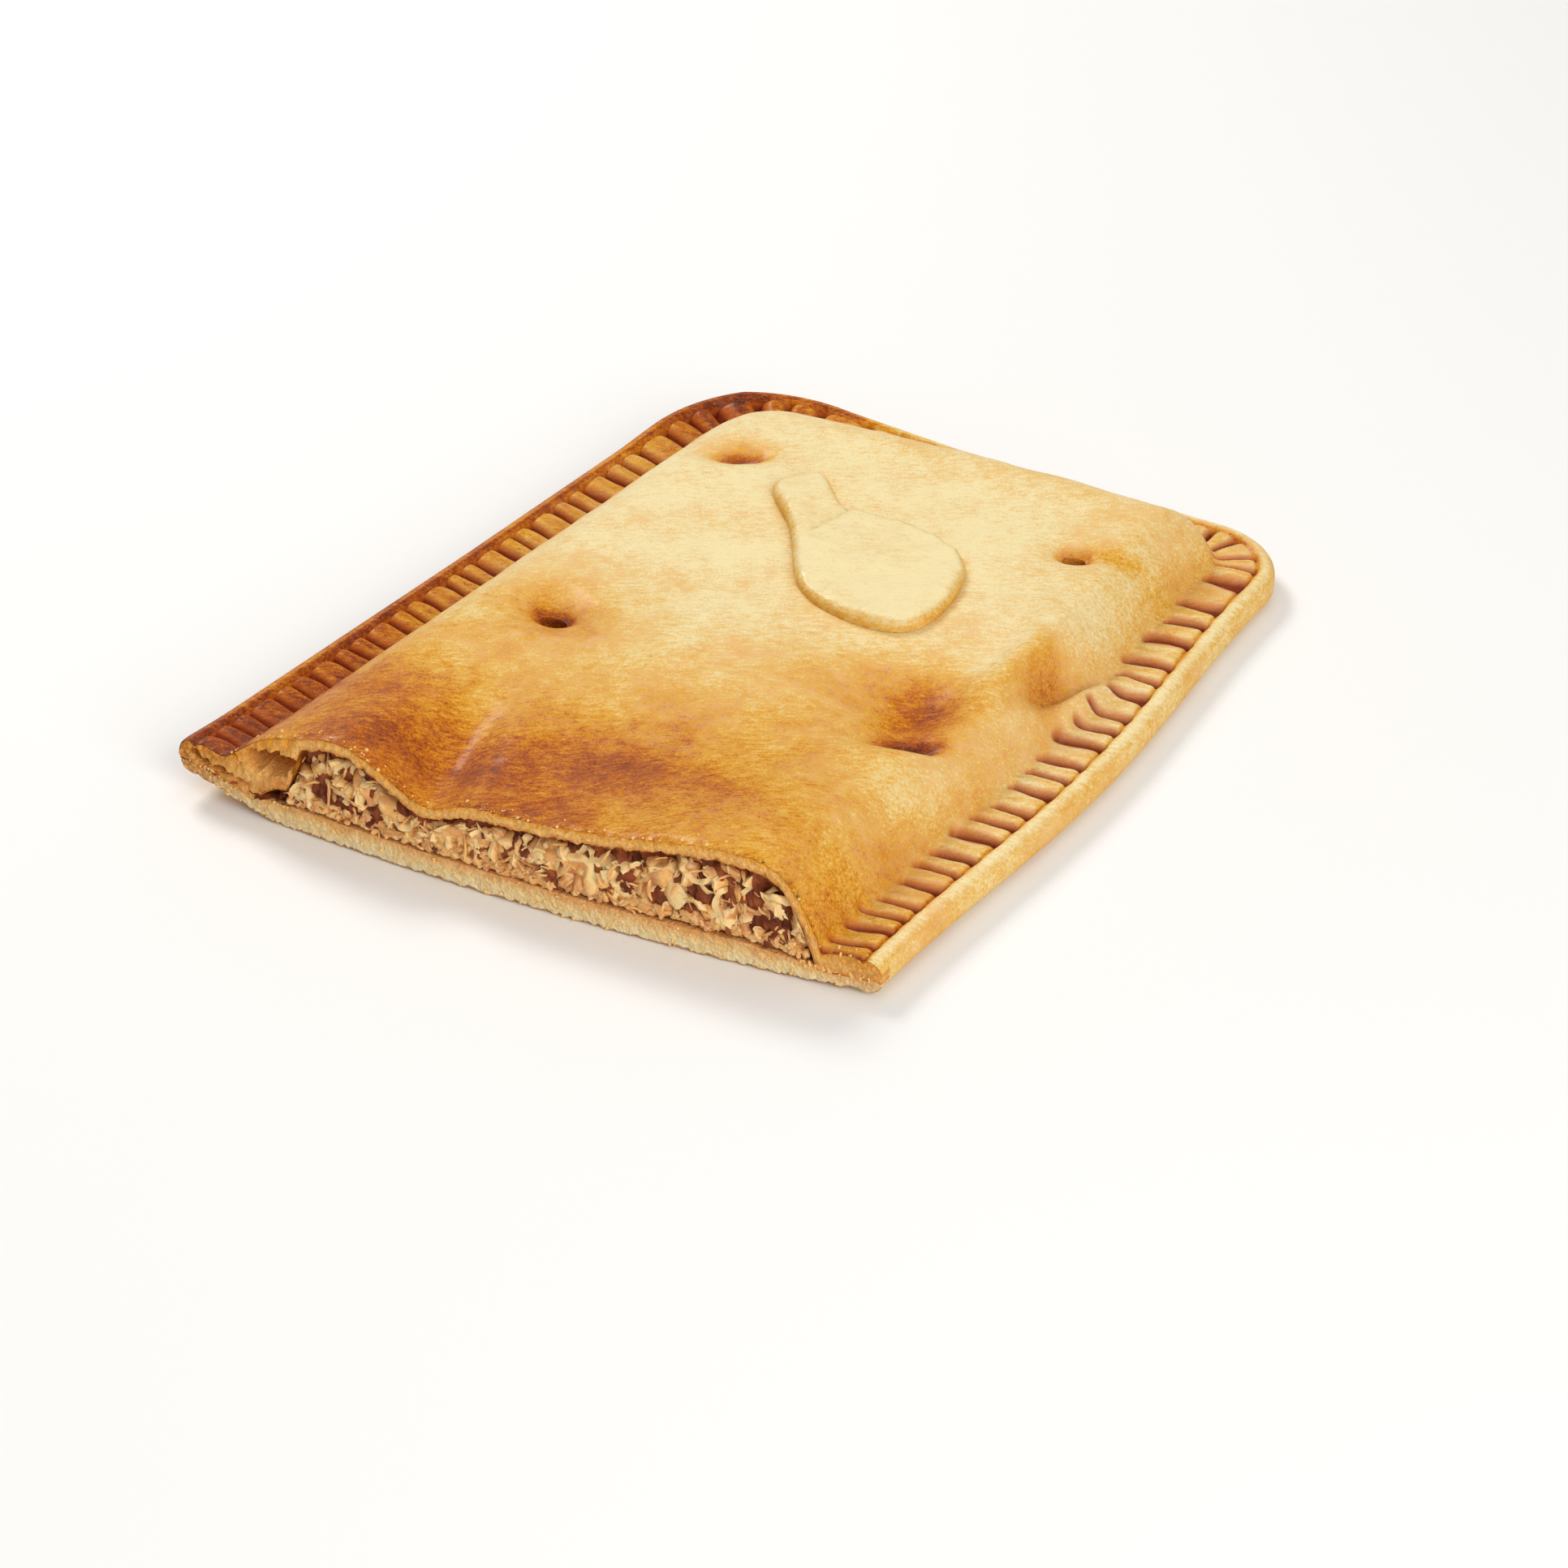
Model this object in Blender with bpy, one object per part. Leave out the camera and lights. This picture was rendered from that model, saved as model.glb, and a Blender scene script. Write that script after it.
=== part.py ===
"""A rectangular tuna pie of two dough sheets with a crimped rim, one end cut off so that the filling shows.

Run it with blender --background --python part.py, or from Blender's text editor. It is metres, +Z up, with the
middle of the pie's footprint at the origin and the cut end towards -Y. The pie is described from above: a rim line
goes round its three baked sides, and every height is worked out from how far a point lies in from that line and
how far along it, so the base, the filling, the lid and the dough fish on the lid all fit each other.
"""

import math
import random

import bmesh
import bpy
import numpy as np
from mathutils import Matrix, Vector, noise
from mathutils.geometry import delaunay_2d_cdt

MM = 0.001

# Plan of the baked rim: the two ends of the cut and the two far corners
CUT_LEFT = (-83.2 * MM, -96.0 * MM)
CUT_RIGHT = (77.3 * MM, -94.0 * MM)
FAR_LEFT = (-65.8 * MM, 99.7 * MM)
FAR_RIGHT = (81.0 * MM, 97.2 * MM)
FAR_LEFT_RADIUS = 33 * MM
FAR_RIGHT_RADIUS = 20 * MM
RIGHT_SIDE_BOW = 4.2 * MM
CUT_BOW = 4.3 * MM
BEYOND_CUT = 25 * MM
LINE_STEP = 1 * MM

# The rim: an outer bead, then the crimped band
RIM_HEIGHT = 7.4 * MM
SEAM_HEIGHT = 3.6 * MM
GAP = 0.3 * MM
BEAD_RADIUS = 3.4 * MM
BEAD_FLAT = 0.25
CRIMP_START = 3.9 * MM
CRIMP_WIDTH = 9.6 * MM
CRIMP_FADE = 3.2 * MM
GROOVE_DEPTH = 2.5 * MM
GROOVE_WIDTH = 0.14
LIFT_REACH = 26 * MM

# The lid's dome and the two sheets
DOME_START = 11.5 * MM
DOME_RUN = 19 * MM
DOME_EASE = 2.3
DOME_HEIGHT = 21.5 * MM
LID_THICKNESS = 4.2 * MM
BASE_THICKNESS = 5.3 * MM

# Filling
FILLING_GAP = 0.9 * MM
FILLING_INSET = 13.2 * MM
FACE_SET_BACK = 2.2 * MM
FLAKE_COUNT = 82
FLAKE_LENGTH = (5.0 * MM, 10.0 * MM)

# Dough fish on the lid: distances in mm along its length, and its reach to either side there
FISH_MIDDLE = (-0.5 * MM, 30 * MM)
FISH_TURN = math.radians(-40)
FISH_WIDTHS = (
    (-22.5, 2.4, -2.0),
    (-19.5, 5.2, -6.0),
    (-12.0, 4.8, -7.4),
    (-6.0, 4.2, -8.2),
    (-1.8, 8.6, -9.2),
    (5.4, 13.4, -11.4),
    (13.0, 17.6, -14.2),
    (21.0, 19.8, -16.4),
    (29.0, 18.2, -16.0),
    (37.0, 13.0, -12.4),
    (43.0, 6.5, -7.0),
    (45.6, 1.6, -2.2),
)
FISH_THICKNESS = 2.8 * MM

# Places round the rim, from the cut on the left round to the cut on the right: where they are in mm, how far the
# baked rim has curled up off the table there, and the width of one crimp
RIM_PLACES = {
    "left of cut": (-83, -96, 5.0, 6.4),
    "left side": (-74, 0, 4.6, 6.4),
    "before far left corner": (-69, 56, 5.0, 7.0),
    "into far left corner": (-65, 73, 5.8, 10.8),
    "far left corner": (-57, 91, 6.8, 9.4),
    "after far left corner": (-32, 99, 4.0, 10.2),
    "far side on the left": (-5, 99, 1.8, 8.8),
    "far side on the right": (40, 98, 0.9, 8.7),
    "far right corner": (76, 92, 0.0, 8.6),
    "far on the right side": (82, 62, 0.0, 9.8),
    "middle of the right side": (83, 20, 0.0, 7.5),
    "near on the right side": (79, -25, 0.2, 7.2),
    "right of cut": (77, -94, 0.8, 6.5),
}
CRIMP_OFFSET = 0.2

# Hills and hollows of the lid: centre, reach across and along, turn in degrees, height
SWELLS = {
    "hill by the cut on the right": (44, -88, 20, 26, 0, 4.6),
    "hill by the cut on the left": (-43, -94, 9, 16, 0, 3.4),
    "hollow between them": (-24, -90, 8, 24, 12, -5.4),
    "shallow fall beside it": (-4, -84, 15, 22, 0, -2.2),
    "bulge over the crimps": (61, 14, 7, 14, 0, 2.6),
    "crease behind the bulge": (52, 2, 5, 14, -10, -1.8),
    "ridge along the far side": (22, 74, 52, 9, 0, 1.8),
    "swell by the far left corner": (-40, 72, 16, 10, 0, -1.0),
    "swell in the middle": (2, -30, 30, 24, 0, 1.4),
}

# Steam vents: centre, reach across and along of the dip, turn in degrees, dip, half length and half width of the slit
VENTS = {
    "far left vent": (-35.5, 53, 8.5, 5, 15, 3.0, 1.4, 2.6),
    "far right vent": (52.5, 43.5, 8, 8, 25, 3.2, 3.4, 2.6),
    "near right vent": (49, -27, 8, 14, 30, 8.0, 2.2, 3.2),
    "near left vent": (-36, -27, 9, 7, -12, 3.6, 2.2, 3.2),
}

COLOURS = {
    "lid": ((0.72, 0.40, 0.12, 1), 0.42),
    "base": ((0.82, 0.62, 0.34, 1), 0.60),
    "filling": ((0.60, 0.33, 0.20, 1), 0.40),
    "dough_fish": ((0.88, 0.72, 0.42, 1), 0.45),
}


def smooth(t):
    t = np.clip(t, 0.0, 1.0)
    return t * t * (3.0 - 2.0 * t)


def clear_scene():
    for item in list(bpy.data.objects):
        bpy.data.objects.remove(item)


# Plan of the rim


def rounded_corner(before, corner, after, radius):
    """Points of the arc that rounds one corner of the plan."""
    to_before = (before - corner).normalized()
    to_after = (after - corner).normalized()
    half = to_before.angle(to_after) / 2
    middle = (to_before + to_after).normalized()
    centre = corner + middle * (radius / math.sin(half))
    start = corner + to_before * (radius / math.tan(half))
    end = corner + to_after * (radius / math.tan(half))
    sweep = math.pi - 2 * half
    steps = max(6, round(sweep * radius / LINE_STEP))
    arc = []
    for step in range(steps + 1):
        turn = -sweep * step / steps
        arc.append(centre + Matrix.Rotation(turn, 2) @ (start - centre))
    arc[-1] = end
    return arc


def rim_line():
    """Outer edge from beyond the cut on the left, round the far side, to beyond the cut on the right."""
    left, right = Vector(CUT_LEFT), Vector(CUT_RIGHT)
    far_left, far_right = Vector(FAR_LEFT), Vector(FAR_RIGHT)
    first = left + (left - far_left).normalized() * BEYOND_CUT
    last = right + (right - far_right).normalized() * BEYOND_CUT
    corners = rounded_corner(left, far_left, far_right, FAR_LEFT_RADIUS)
    corners += rounded_corner(far_left, far_right, right, FAR_RIGHT_RADIUS)
    path = np.array([first, *corners, last])
    walked = np.r_[0, np.cumsum(np.linalg.norm(np.diff(path, axis=0), axis=1))]
    at = np.linspace(0, walked[-1], round(walked[-1] / LINE_STEP))
    line = np.c_[np.interp(at, walked, path[:, 0]), np.interp(at, walked, path[:, 1])]
    share = (line[:, 1] - right.y) / (far_right.y - FAR_RIGHT_RADIUS - right.y)
    on_right = (line[:, 0] > 0) & (share > 0) & (share < 1)
    line[on_right, 0] += RIGHT_SIDE_BOW * np.sin(np.pi * share[on_right]) ** 2
    return line


LINE = rim_line()
LINE_LENGTHS = np.linalg.norm(np.diff(LINE, axis=0), axis=1)
LINE_AT = np.r_[0, np.cumsum(LINE_LENGTHS)]
LINE_END = LINE_AT[-1]


def on_line(along, depth):
    """Plan points that lie depth in from the rim line at the given lengths along it."""
    tangent = np.gradient(LINE, axis=0)
    tangent /= np.linalg.norm(tangent, axis=1)[:, None]
    inward = np.c_[tangent[:, 1], -tangent[:, 0]]
    columns = [np.interp(along, LINE_AT, values) for values in (*LINE.T, *inward.T)]
    x, y, inward_x, inward_y = columns
    return np.c_[x + inward_x * depth, y + inward_y * depth]


def edge_coordinates(points):
    """How far in from the rim line each plan point lies, and how far along the line."""
    starts, spans = LINE[:-1], np.diff(LINE, axis=0)
    away = points[:, None, :] - starts[None]
    share = np.clip((away * spans).sum(2) / (spans**2).sum(1), 0, 1)
    gap = np.linalg.norm(away - share[..., None] * spans, axis=2)
    nearest = gap.argmin(1)
    row = np.arange(len(points))
    return gap[row, nearest], LINE_AT[nearest] + share[row, nearest] * LINE_LENGTHS[nearest]


def knife_line(x):
    """y of the knife cut, which bows a little towards the viewer between its two ends."""
    share = (x - CUT_LEFT[0]) / (CUT_RIGHT[0] - CUT_LEFT[0])
    straight = CUT_LEFT[1] + share * (CUT_RIGHT[1] - CUT_LEFT[1])
    return straight - CUT_BOW * np.sin(np.pi * np.clip(share, 0, 1))


def length_at(x, y):
    """Length along the rim line at the place nearest a plan point."""
    return LINE_AT[np.hypot(LINE[:, 0] - x, LINE[:, 1] - y).argmin()]


CUT_START = length_at(*CUT_LEFT)
CUT_END = length_at(*CUT_RIGHT)
PLACES_AT = [length_at(x * MM, y * MM) for x, y, _, _ in RIM_PLACES.values()]


# Heights


def lift(along):
    """How far the underside of the rim curls up off the table."""
    return np.interp(along, PLACES_AT, [place[2] * MM for place in RIM_PLACES.values()])


def underside(depth, along):
    return lift(along) * (1 - smooth(depth / LIFT_REACH))


# Counts the crimps along the line: a groove lies at every whole number
CRIMP_WIDTHS = np.interp(LINE_AT, PLACES_AT, [place[3] * MM for place in RIM_PLACES.values()])
CRIMP_COUNT_AT = CRIMP_OFFSET + np.cumsum(LINE_AT[1] / CRIMP_WIDTHS)


def groove(depth, along):
    """Share of the full groove depth pressed in at a point of the rim."""
    phase = np.interp(along, LINE_AT, CRIMP_COUNT_AT)
    from_groove = phase - np.round(phase)
    across = np.exp(-((from_groove / GROOVE_WIDTH) ** 2))
    starts = smooth((depth - CRIMP_START + 0.6 * MM) / (1.2 * MM))
    ends = 1 - smooth((depth - CRIMP_START - CRIMP_WIDTH) / CRIMP_FADE)
    shallower = 1 - 0.35 * (depth - CRIMP_START) / CRIMP_WIDTH
    return across * starts * ends * np.clip(shallower, 0, 1)


def bead_fall(depth):
    """How far the bead's round edge falls below its crown, above and below the seam alike."""
    in_from_edge = np.clip(depth / BEAD_RADIUS, 0, 1)
    return BEAD_RADIUS * (1 - BEAD_FLAT) * (1 - np.sqrt(1 - (1 - in_from_edge) ** 2))


def oval(points, centre_x, centre_y, reach_x, reach_y, turn):
    """Squared distance from a turned oval's centre, 1 on the oval; sizes in millimetres."""
    cosine, sine = math.cos(math.radians(turn)), math.sin(math.radians(turn))
    x, y = points[:, 0] - centre_x * MM, points[:, 1] - centre_y * MM
    across = (x * cosine + y * sine) / (reach_x * MM)
    along = (-x * sine + y * cosine) / (reach_y * MM)
    return across**2 + along**2


def swells(points):
    total = np.zeros(len(points))
    for x, y, reach_x, reach_y, turn, height in SWELLS.values():
        total += height * MM * np.exp(-oval(points, x, y, reach_x, reach_y, turn))
    for x, y, reach_x, reach_y, turn, dip, _, _ in VENTS.values():
        total -= dip * MM * np.exp(-oval(points, x, y, reach_x, reach_y, turn))
    return total


def plain_lid_top(points, depth, along):
    """Top of the lid before the crimps are pressed in."""
    rise = 1 - (1 - np.clip((depth - DOME_START) / DOME_RUN, 0, 1)) ** DOME_EASE
    rim = underside(depth, along) + RIM_HEIGHT
    top = DOME_HEIGHT + swells(points)
    return rim + rise * np.maximum(top - rim, 0)


def lid_top(points):
    depth, along = edge_coordinates(points)
    height = plain_lid_top(points, depth, along)
    height -= bead_fall(depth)
    return height - GROOVE_DEPTH * groove(depth, along)


def lid_underside(points):
    depth, along = edge_coordinates(points)
    seam = underside(depth, along) + SEAM_HEIGHT + GAP
    return np.maximum(seam, plain_lid_top(points, depth, along) - LID_THICKNESS)


def base_top(points):
    depth, along = edge_coordinates(points)
    rise = smooth((depth - DOME_START) / DOME_RUN)
    return underside(depth, along) + SEAM_HEIGHT + rise * (BASE_THICKNESS - SEAM_HEIGHT)


def base_underside(points):
    depth, along = edge_coordinates(points)
    return underside(depth, along) + bead_fall(depth)


# Slabs between two height functions


def inside_pie(points, margin):
    """True where a plan point lies on the pie side of the cut by at least the margin."""
    return points[:, 1] > knife_line(points[:, 0]) + margin


def spread_points(spacing, inset, margin):
    """An even triangular spread of plan points that lie at least inset in from the rim."""
    rows = []
    y = CUT_LEFT[1] - CUT_BOW
    shifted = False
    while y < FAR_LEFT[1]:
        x = np.arange(CUT_LEFT[0], FAR_RIGHT[0] + RIGHT_SIDE_BOW, spacing) + shifted * spacing / 2
        rows.append(np.c_[x, np.full(len(x), y)])
        y += spacing * math.sqrt(3) / 2
        shifted = not shifted
    points = np.concatenate(rows)
    depth, _ = edge_coordinates(points)
    return points[(depth > inset) & inside_pie(points, margin) & inside_line(points)]


def inside_line(points):
    """True where a plan point lies within the area that the rim line closes."""
    x, y = points[:, 0][:, None], points[:, 1][:, None]
    x0, y0 = LINE[:, 0], LINE[:, 1]
    x1, y1 = np.roll(x0, -1), np.roll(y0, -1)
    crosses = (y0 > y) != (y1 > y)
    rise = np.where(y1 == y0, 1.0, y1 - y0)
    at = x0 + (y - y0) / rise * (x1 - x0)
    return ((crosses & (x < at)).sum(1) % 2) == 1


def rim_row(depth, spacing, margin):
    """Plan points along one line at a depth in from the rim."""
    along = np.arange(CUT_START - 2 * spacing, CUT_END + 2 * spacing, spacing)
    points = on_line(along, depth)
    return points[inside_pie(points, margin)]


def crimp_row(depth, phases, margin):
    """Plan points at a depth in from the rim, at the given phases of every crimp."""
    counts = np.arange(math.ceil(CRIMP_COUNT_AT[0]), math.floor(CRIMP_COUNT_AT[-1]))
    wanted = (counts[:, None] + np.array(phases)).ravel()
    along = np.interp(wanted, CRIMP_COUNT_AT, LINE_AT)
    points = on_line(along, depth)
    return points[inside_pie(points, margin)]


def outline(inset, set_back, spacing):
    """Closed plan outline: the rim line moved in by inset, then back along the knife cut."""
    along = np.linspace(CUT_START - 10 * MM, CUT_END + 10 * MM, 4000)
    side = on_line(along, inset)
    side = side[inside_pie(side, set_back)]
    walked = np.r_[0, np.cumsum(np.linalg.norm(np.diff(side, axis=0), axis=1))]
    at = np.linspace(0, walked[-1], round(walked[-1] / spacing))
    side = np.c_[np.interp(at, walked, side[:, 0]), np.interp(at, walked, side[:, 1])]
    x = np.arange(side[-1][0] - spacing / 2, side[0][0] + spacing / 4, -spacing / 2)
    x = x[(x > side[0][0] + spacing / 4) & (x < side[-1][0] - spacing / 4)]
    cut = np.c_[x, knife_line(x) + set_back]
    return np.concatenate([side, cut])


def slit_loop(vent, count=12):
    """Plan outline of one steam vent."""
    x, y, _, _, turn, _, half_length, half_width = vent
    angles = np.arange(count) * 2 * np.pi / count
    across, along = half_width * np.cos(angles), half_length * np.sin(angles)
    cosine, sine = math.cos(math.radians(turn)), math.sin(math.radians(turn))
    return np.c_[x + across * cosine - along * sine, y + across * sine + along * cosine] * MM


def within(points, loop):
    """True where a plan point lies inside a closed loop."""
    x, y = points[:, 0][:, None], points[:, 1][:, None]
    x0, y0 = loop[:, 0], loop[:, 1]
    x1, y1 = np.roll(x0, -1), np.roll(y0, -1)
    crosses = (y0 > y) != (y1 > y)
    rise = np.where(y1 == y0, 1.0, y1 - y0)
    at = x0 + (y - y0) / rise * (x1 - x0)
    return ((crosses & (x < at)).sum(1) % 2) == 1


def triangulate(loops, points):
    """Delaunay triangles between closed loops and free points; the first loop is the outline, the rest are holes.

    Returns the plan points, the triangles, and for each loop the numbers of its points.
    """
    corners, edges, firsts = [], [], []
    for loop in loops:
        first = len(corners)
        firsts.append(first)
        corners += [Vector(p / MM) for p in loop]
        edges += [(first + i, first + (i + 1) % len(loop)) for i in range(len(loop))]
    for hole in loops[1:]:
        points = points[~within(points, hole)]
    corners += [Vector(p / MM) for p in points]
    verts, _, faces, sources, _, _ = delaunay_2d_cdt(corners, edges, [], 1, 1e-5)
    plan = np.array([tuple(v) for v in verts]) * MM
    faces = np.array([f for f in faces if len(f) == 3])
    centres = plan[faces].mean(1)
    keep = np.ones(len(faces), dtype=bool)
    for hole in loops[1:]:
        keep &= ~within(centres, hole)
    number = {source: i for i, group in enumerate(sources) for source in group}
    rings = [[number[first + i] for i in range(len(loop))] for first, loop in zip(firsts, loops)]
    return plan, faces[keep], rings


def add_sheet(mesh, loops, points, height, upwards):
    """Adds one triangulated surface at its heights, and returns the corners of each loop."""
    plan, faces, rings = triangulate(loops, points)
    heights = height(plan)
    used = np.unique(np.r_[faces.ravel(), np.concatenate(rings)])
    corner = {i: mesh.verts.new((*plan[i], heights[i])) for i in used}
    for a, b, c in faces:
        turn = (a, b, c) if upwards else (c, b, a)
        mesh.faces.new([corner[i] for i in turn])
    return [[corner[i] for i in ring] for ring in rings]


def slab(name, loops, top_points, top, bottom_points, bottom, rough=0.0):
    """Closed solid between two height functions over one plan area."""
    mesh = bmesh.new()
    above = add_sheet(mesh, loops, top_points, top, True)
    below = add_sheet(mesh, loops, bottom_points, bottom, False)
    draw = random.Random(name)
    for number, (high_ring, low_ring) in enumerate(zip(above, below)):
        middles = []
        for high, low in zip(high_ring, low_ring):
            middle = (high.co + low.co) / 2
            if number == 0 and abs(middle.y - knife_line(middle.x)) < 1 * MM:
                middle.y -= rough * draw.uniform(-0.4, 1.0)
            middles.append(mesh.verts.new(middle))
        for i in range(len(middles)):
            after = (i + 1) % len(middles)
            mesh.faces.new((high_ring[i], high_ring[after], middles[after], middles[i]))
            mesh.faces.new((middles[i], middles[after], low_ring[after], low_ring[i]))
    bmesh.ops.recalc_face_normals(mesh, faces=mesh.faces[:])
    bmesh.ops.triangulate(mesh, faces=mesh.faces[:])
    return finish(mesh, name)


def finish(mesh, name):
    """Turns a bmesh into a named object with its own material."""
    data = bpy.data.meshes.new(name)
    mesh.to_mesh(data)
    mesh.free()
    data.shade_smooth()
    data.set_sharp_from_angle(angle=math.radians(50))
    made = bpy.data.objects.new(name, data)
    bpy.context.scene.collection.objects.link(made)
    colour, roughness = COLOURS[name]
    material = bpy.data.materials.new(name)
    material.use_nodes = True
    shader = material.node_tree.nodes["Principled BSDF"]
    shader.inputs["Base Color"].default_value = colour
    shader.inputs["Roughness"].default_value = roughness
    shader.inputs["Metallic"].default_value = 0
    data.materials.append(material)
    return made


# The pieces


def make_base():
    """Bottom dough sheet, flat on the table and curling up at the rim."""
    loops = [outline(0, 0, 6 * MM)]
    edge = [rim_row(depth, 8 * MM, 2 * MM) for depth in (1.2 * MM, BEAD_RADIUS)]
    top_points = np.concatenate([rim_row(DOME_START, 9 * MM, 2 * MM), floor_points(2 * MM)])
    low_rows = [rim_row(depth, 14 * MM, 2 * MM) for depth in (10 * MM, 19 * MM)]
    low_points = np.concatenate([*edge, *low_rows, spread_points(20 * MM, 30 * MM, 5 * MM)])
    return slab("base", loops, top_points, base_top, low_points, base_underside, 0.7 * MM)


def floor_points(margin):
    """Plan points that the top of the base and the underside of the filling share."""
    rows = [rim_row(depth, 10 * MM, margin) for depth in (17 * MM, 23 * MM)]
    return np.concatenate([*rows, spread_points(20 * MM, 30 * MM, margin + 3 * MM)])


def make_lid():
    """Top dough sheet: crimped rim, dome, and the steam vents cut through it."""
    vents = [slit_loop(vent) for vent in VENTS.values()]
    loops = [outline(0, 0, 5 * MM), *vents]
    bead = [rim_row(depth, 5 * MM, 1.4 * MM) for depth in (0.7 * MM, 2.2 * MM)]
    bead.append(crimp_row(CRIMP_START - 0.7 * MM, (0.0, 0.33, 0.67), 1.2 * MM))
    phases = (0.0, 0.18, 0.5, 0.82)
    depths = (4.3 * MM, 8.5 * MM, CRIMP_START + CRIMP_WIDTH)
    crimps = [crimp_row(depth, phases, 1.2 * MM) for depth in depths]
    shoulder = [rim_row(depth, 5.5 * MM, 2 * MM) for depth in (17 * MM, 21.5 * MM)]
    crown = spread_points(6.6 * MM, 26 * MM, 3 * MM)
    top_points = np.concatenate([*bead, *crimps, *shoulder, crown, vent_rings()])
    low_points = [rim_row(DOME_START, 8 * MM, 2 * MM), filling_outline()]
    low_points = np.concatenate([*low_points, pocket_points(FACE_SET_BACK + 2 * MM)])
    return slab("lid", loops, top_points, lid_top, low_points, lid_underside, 0.6 * MM)


def vent_rings():
    """Points round each vent, close enough to carry its dip."""
    rings = []
    for x, y, _, _, turn, _, half_length, half_width in VENTS.values():
        for grown in (2.6, 6.2):
            ring = (x, y, 0, 0, turn, 0, half_length + grown, half_width + grown)
            rings.append(slit_loop(ring, 10))
    return np.concatenate(rings)


def pocket_points(margin):
    """Plan points that the underside of the lid and the top of the filling share."""
    rows = [rim_row(depth, 8 * MM, margin) for depth in (15 * MM, 18 * MM, 22.5 * MM)]
    crown = spread_points(11 * MM, 28 * MM, margin + 2 * MM)
    return np.concatenate([*rows, crown, vent_rings()])


def filling_outline():
    return outline(FILLING_INSET, FACE_SET_BACK, 7 * MM)


def filling_top(points):
    return lid_underside(points) - FILLING_GAP


def filling_bottom(points):
    return base_top(points) + 1.5 * GAP


def flake_mesh(draw, length):
    """One torn flake of tuna: a bent, tapering slab of few sides."""
    flake = bmesh.new()
    bmesh.ops.create_icosphere(flake, subdivisions=1, radius=0.5)
    width, thick = length * draw.uniform(0.45, 0.75), length * draw.uniform(0.25, 0.4)
    bend = draw.uniform(0.2, 0.6)
    for vert in flake.verts:
        x, y, z = vert.co
        wobble = 1 + 0.3 * noise.noise(Vector((x * 5, y * 5, z * 5 + length * 900)))
        vert.co = Vector((x * length, y * width, z * thick + bend * x * x * length)) * wobble
    return flake


def face_height_limits(x, inner):
    """Lowest and highest a flake may reach at this place on the cut face."""
    point = np.array([[x, inner]])
    return filling_bottom(point)[0] + 0.1 * MM, filling_top(point)[0] - 0.5 * MM


def add_flakes(core):
    """Scatters torn flakes over the cut face and joins them to the filling with one Boolean."""
    draw = random.Random(7)
    flakes = bpy.data.collections.new("flakes")
    bpy.context.scene.collection.children.link(flakes)
    left, right = core.data["face_left"], core.data["face_right"]
    for number in range(FLAKE_COUNT):
        x = left + (right - left) * (number + draw.uniform(0.1, 0.9)) / FLAKE_COUNT
        y = knife_line(x) + FACE_SET_BACK - draw.uniform(-0.6, 1.4) * MM
        low, high = face_height_limits(x, y + 2 * MM)
        room = high - low
        length = min(draw.uniform(*FLAKE_LENGTH), 0.8 * room)
        if length < 2.2 * MM:
            continue
        flake = flake_mesh(draw, length)
        turn = Matrix.Rotation(draw.uniform(0, 2 * math.pi), 3, "Y")
        turn = Matrix.Rotation(draw.uniform(-0.9, 0.9), 3, "X") @ turn
        turn = Matrix.Rotation(draw.uniform(-0.7, 0.7), 3, "Z") @ turn
        bmesh.ops.transform(flake, matrix=turn.to_4x4(), verts=flake.verts)
        lowest = min(v.co.z for v in flake.verts)
        highest = max(v.co.z for v in flake.verts)
        squeeze = min(1.0, room / (highest - lowest))
        slack = room - (highest - lowest) * squeeze
        z = low - lowest * squeeze + slack * draw.random()
        for vert in flake.verts:
            vert.co = Vector((x + vert.co.x, y + vert.co.y, z + vert.co.z * squeeze))
            limit_low, limit_high = face_height_limits(vert.co.x, max(vert.co.y, knife_line(vert.co.x) + 0.5 * MM))
            vert.co.z = min(max(vert.co.z, limit_low), limit_high)
        data = bpy.data.meshes.new("flake")
        flake.to_mesh(data)
        flake.free()
        flakes.objects.link(bpy.data.objects.new("flake", data))
    join = core.modifiers.new("join flakes", "BOOLEAN")
    join.operation = "UNION"
    join.operand_type = "COLLECTION"
    join.collection = flakes
    join.solver = "MANIFOLD"
    apply_modifiers(core)
    for flake in list(flakes.objects):
        bpy.data.objects.remove(flake)
    bpy.data.collections.remove(flakes)
    keep_largest_body(core)


def apply_modifiers(made):
    graph = bpy.context.evaluated_depsgraph_get()
    data = bpy.data.meshes.new_from_object(made.evaluated_get(graph))
    made.modifiers.clear()
    old = made.data
    made.data = data
    data.name = made.name
    bpy.data.meshes.remove(old)


def keep_largest_body(made):
    """Drops loose scraps and sealed hollows that the join left behind."""
    mesh = bmesh.new()
    mesh.from_mesh(made.data)
    bmesh.ops.remove_doubles(mesh, verts=mesh.verts, dist=1e-7)
    unseen, groups = set(mesh.verts), []
    while unseen:
        group, edge = set(), [unseen.pop()]
        while edge:
            vert = edge.pop()
            group.add(vert)
            for link in vert.link_edges:
                other = link.other_vert(vert)
                if other in unseen:
                    unseen.remove(other)
                    edge.append(other)
        groups.append(group)
    largest = max(groups, key=len)
    spare = [v for group in groups if group is not largest for v in group]
    bmesh.ops.delete(mesh, geom=spare, context="VERTS")
    bmesh.ops.triangulate(mesh, faces=mesh.faces[:])
    mesh.to_mesh(made.data)
    mesh.free()


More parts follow.
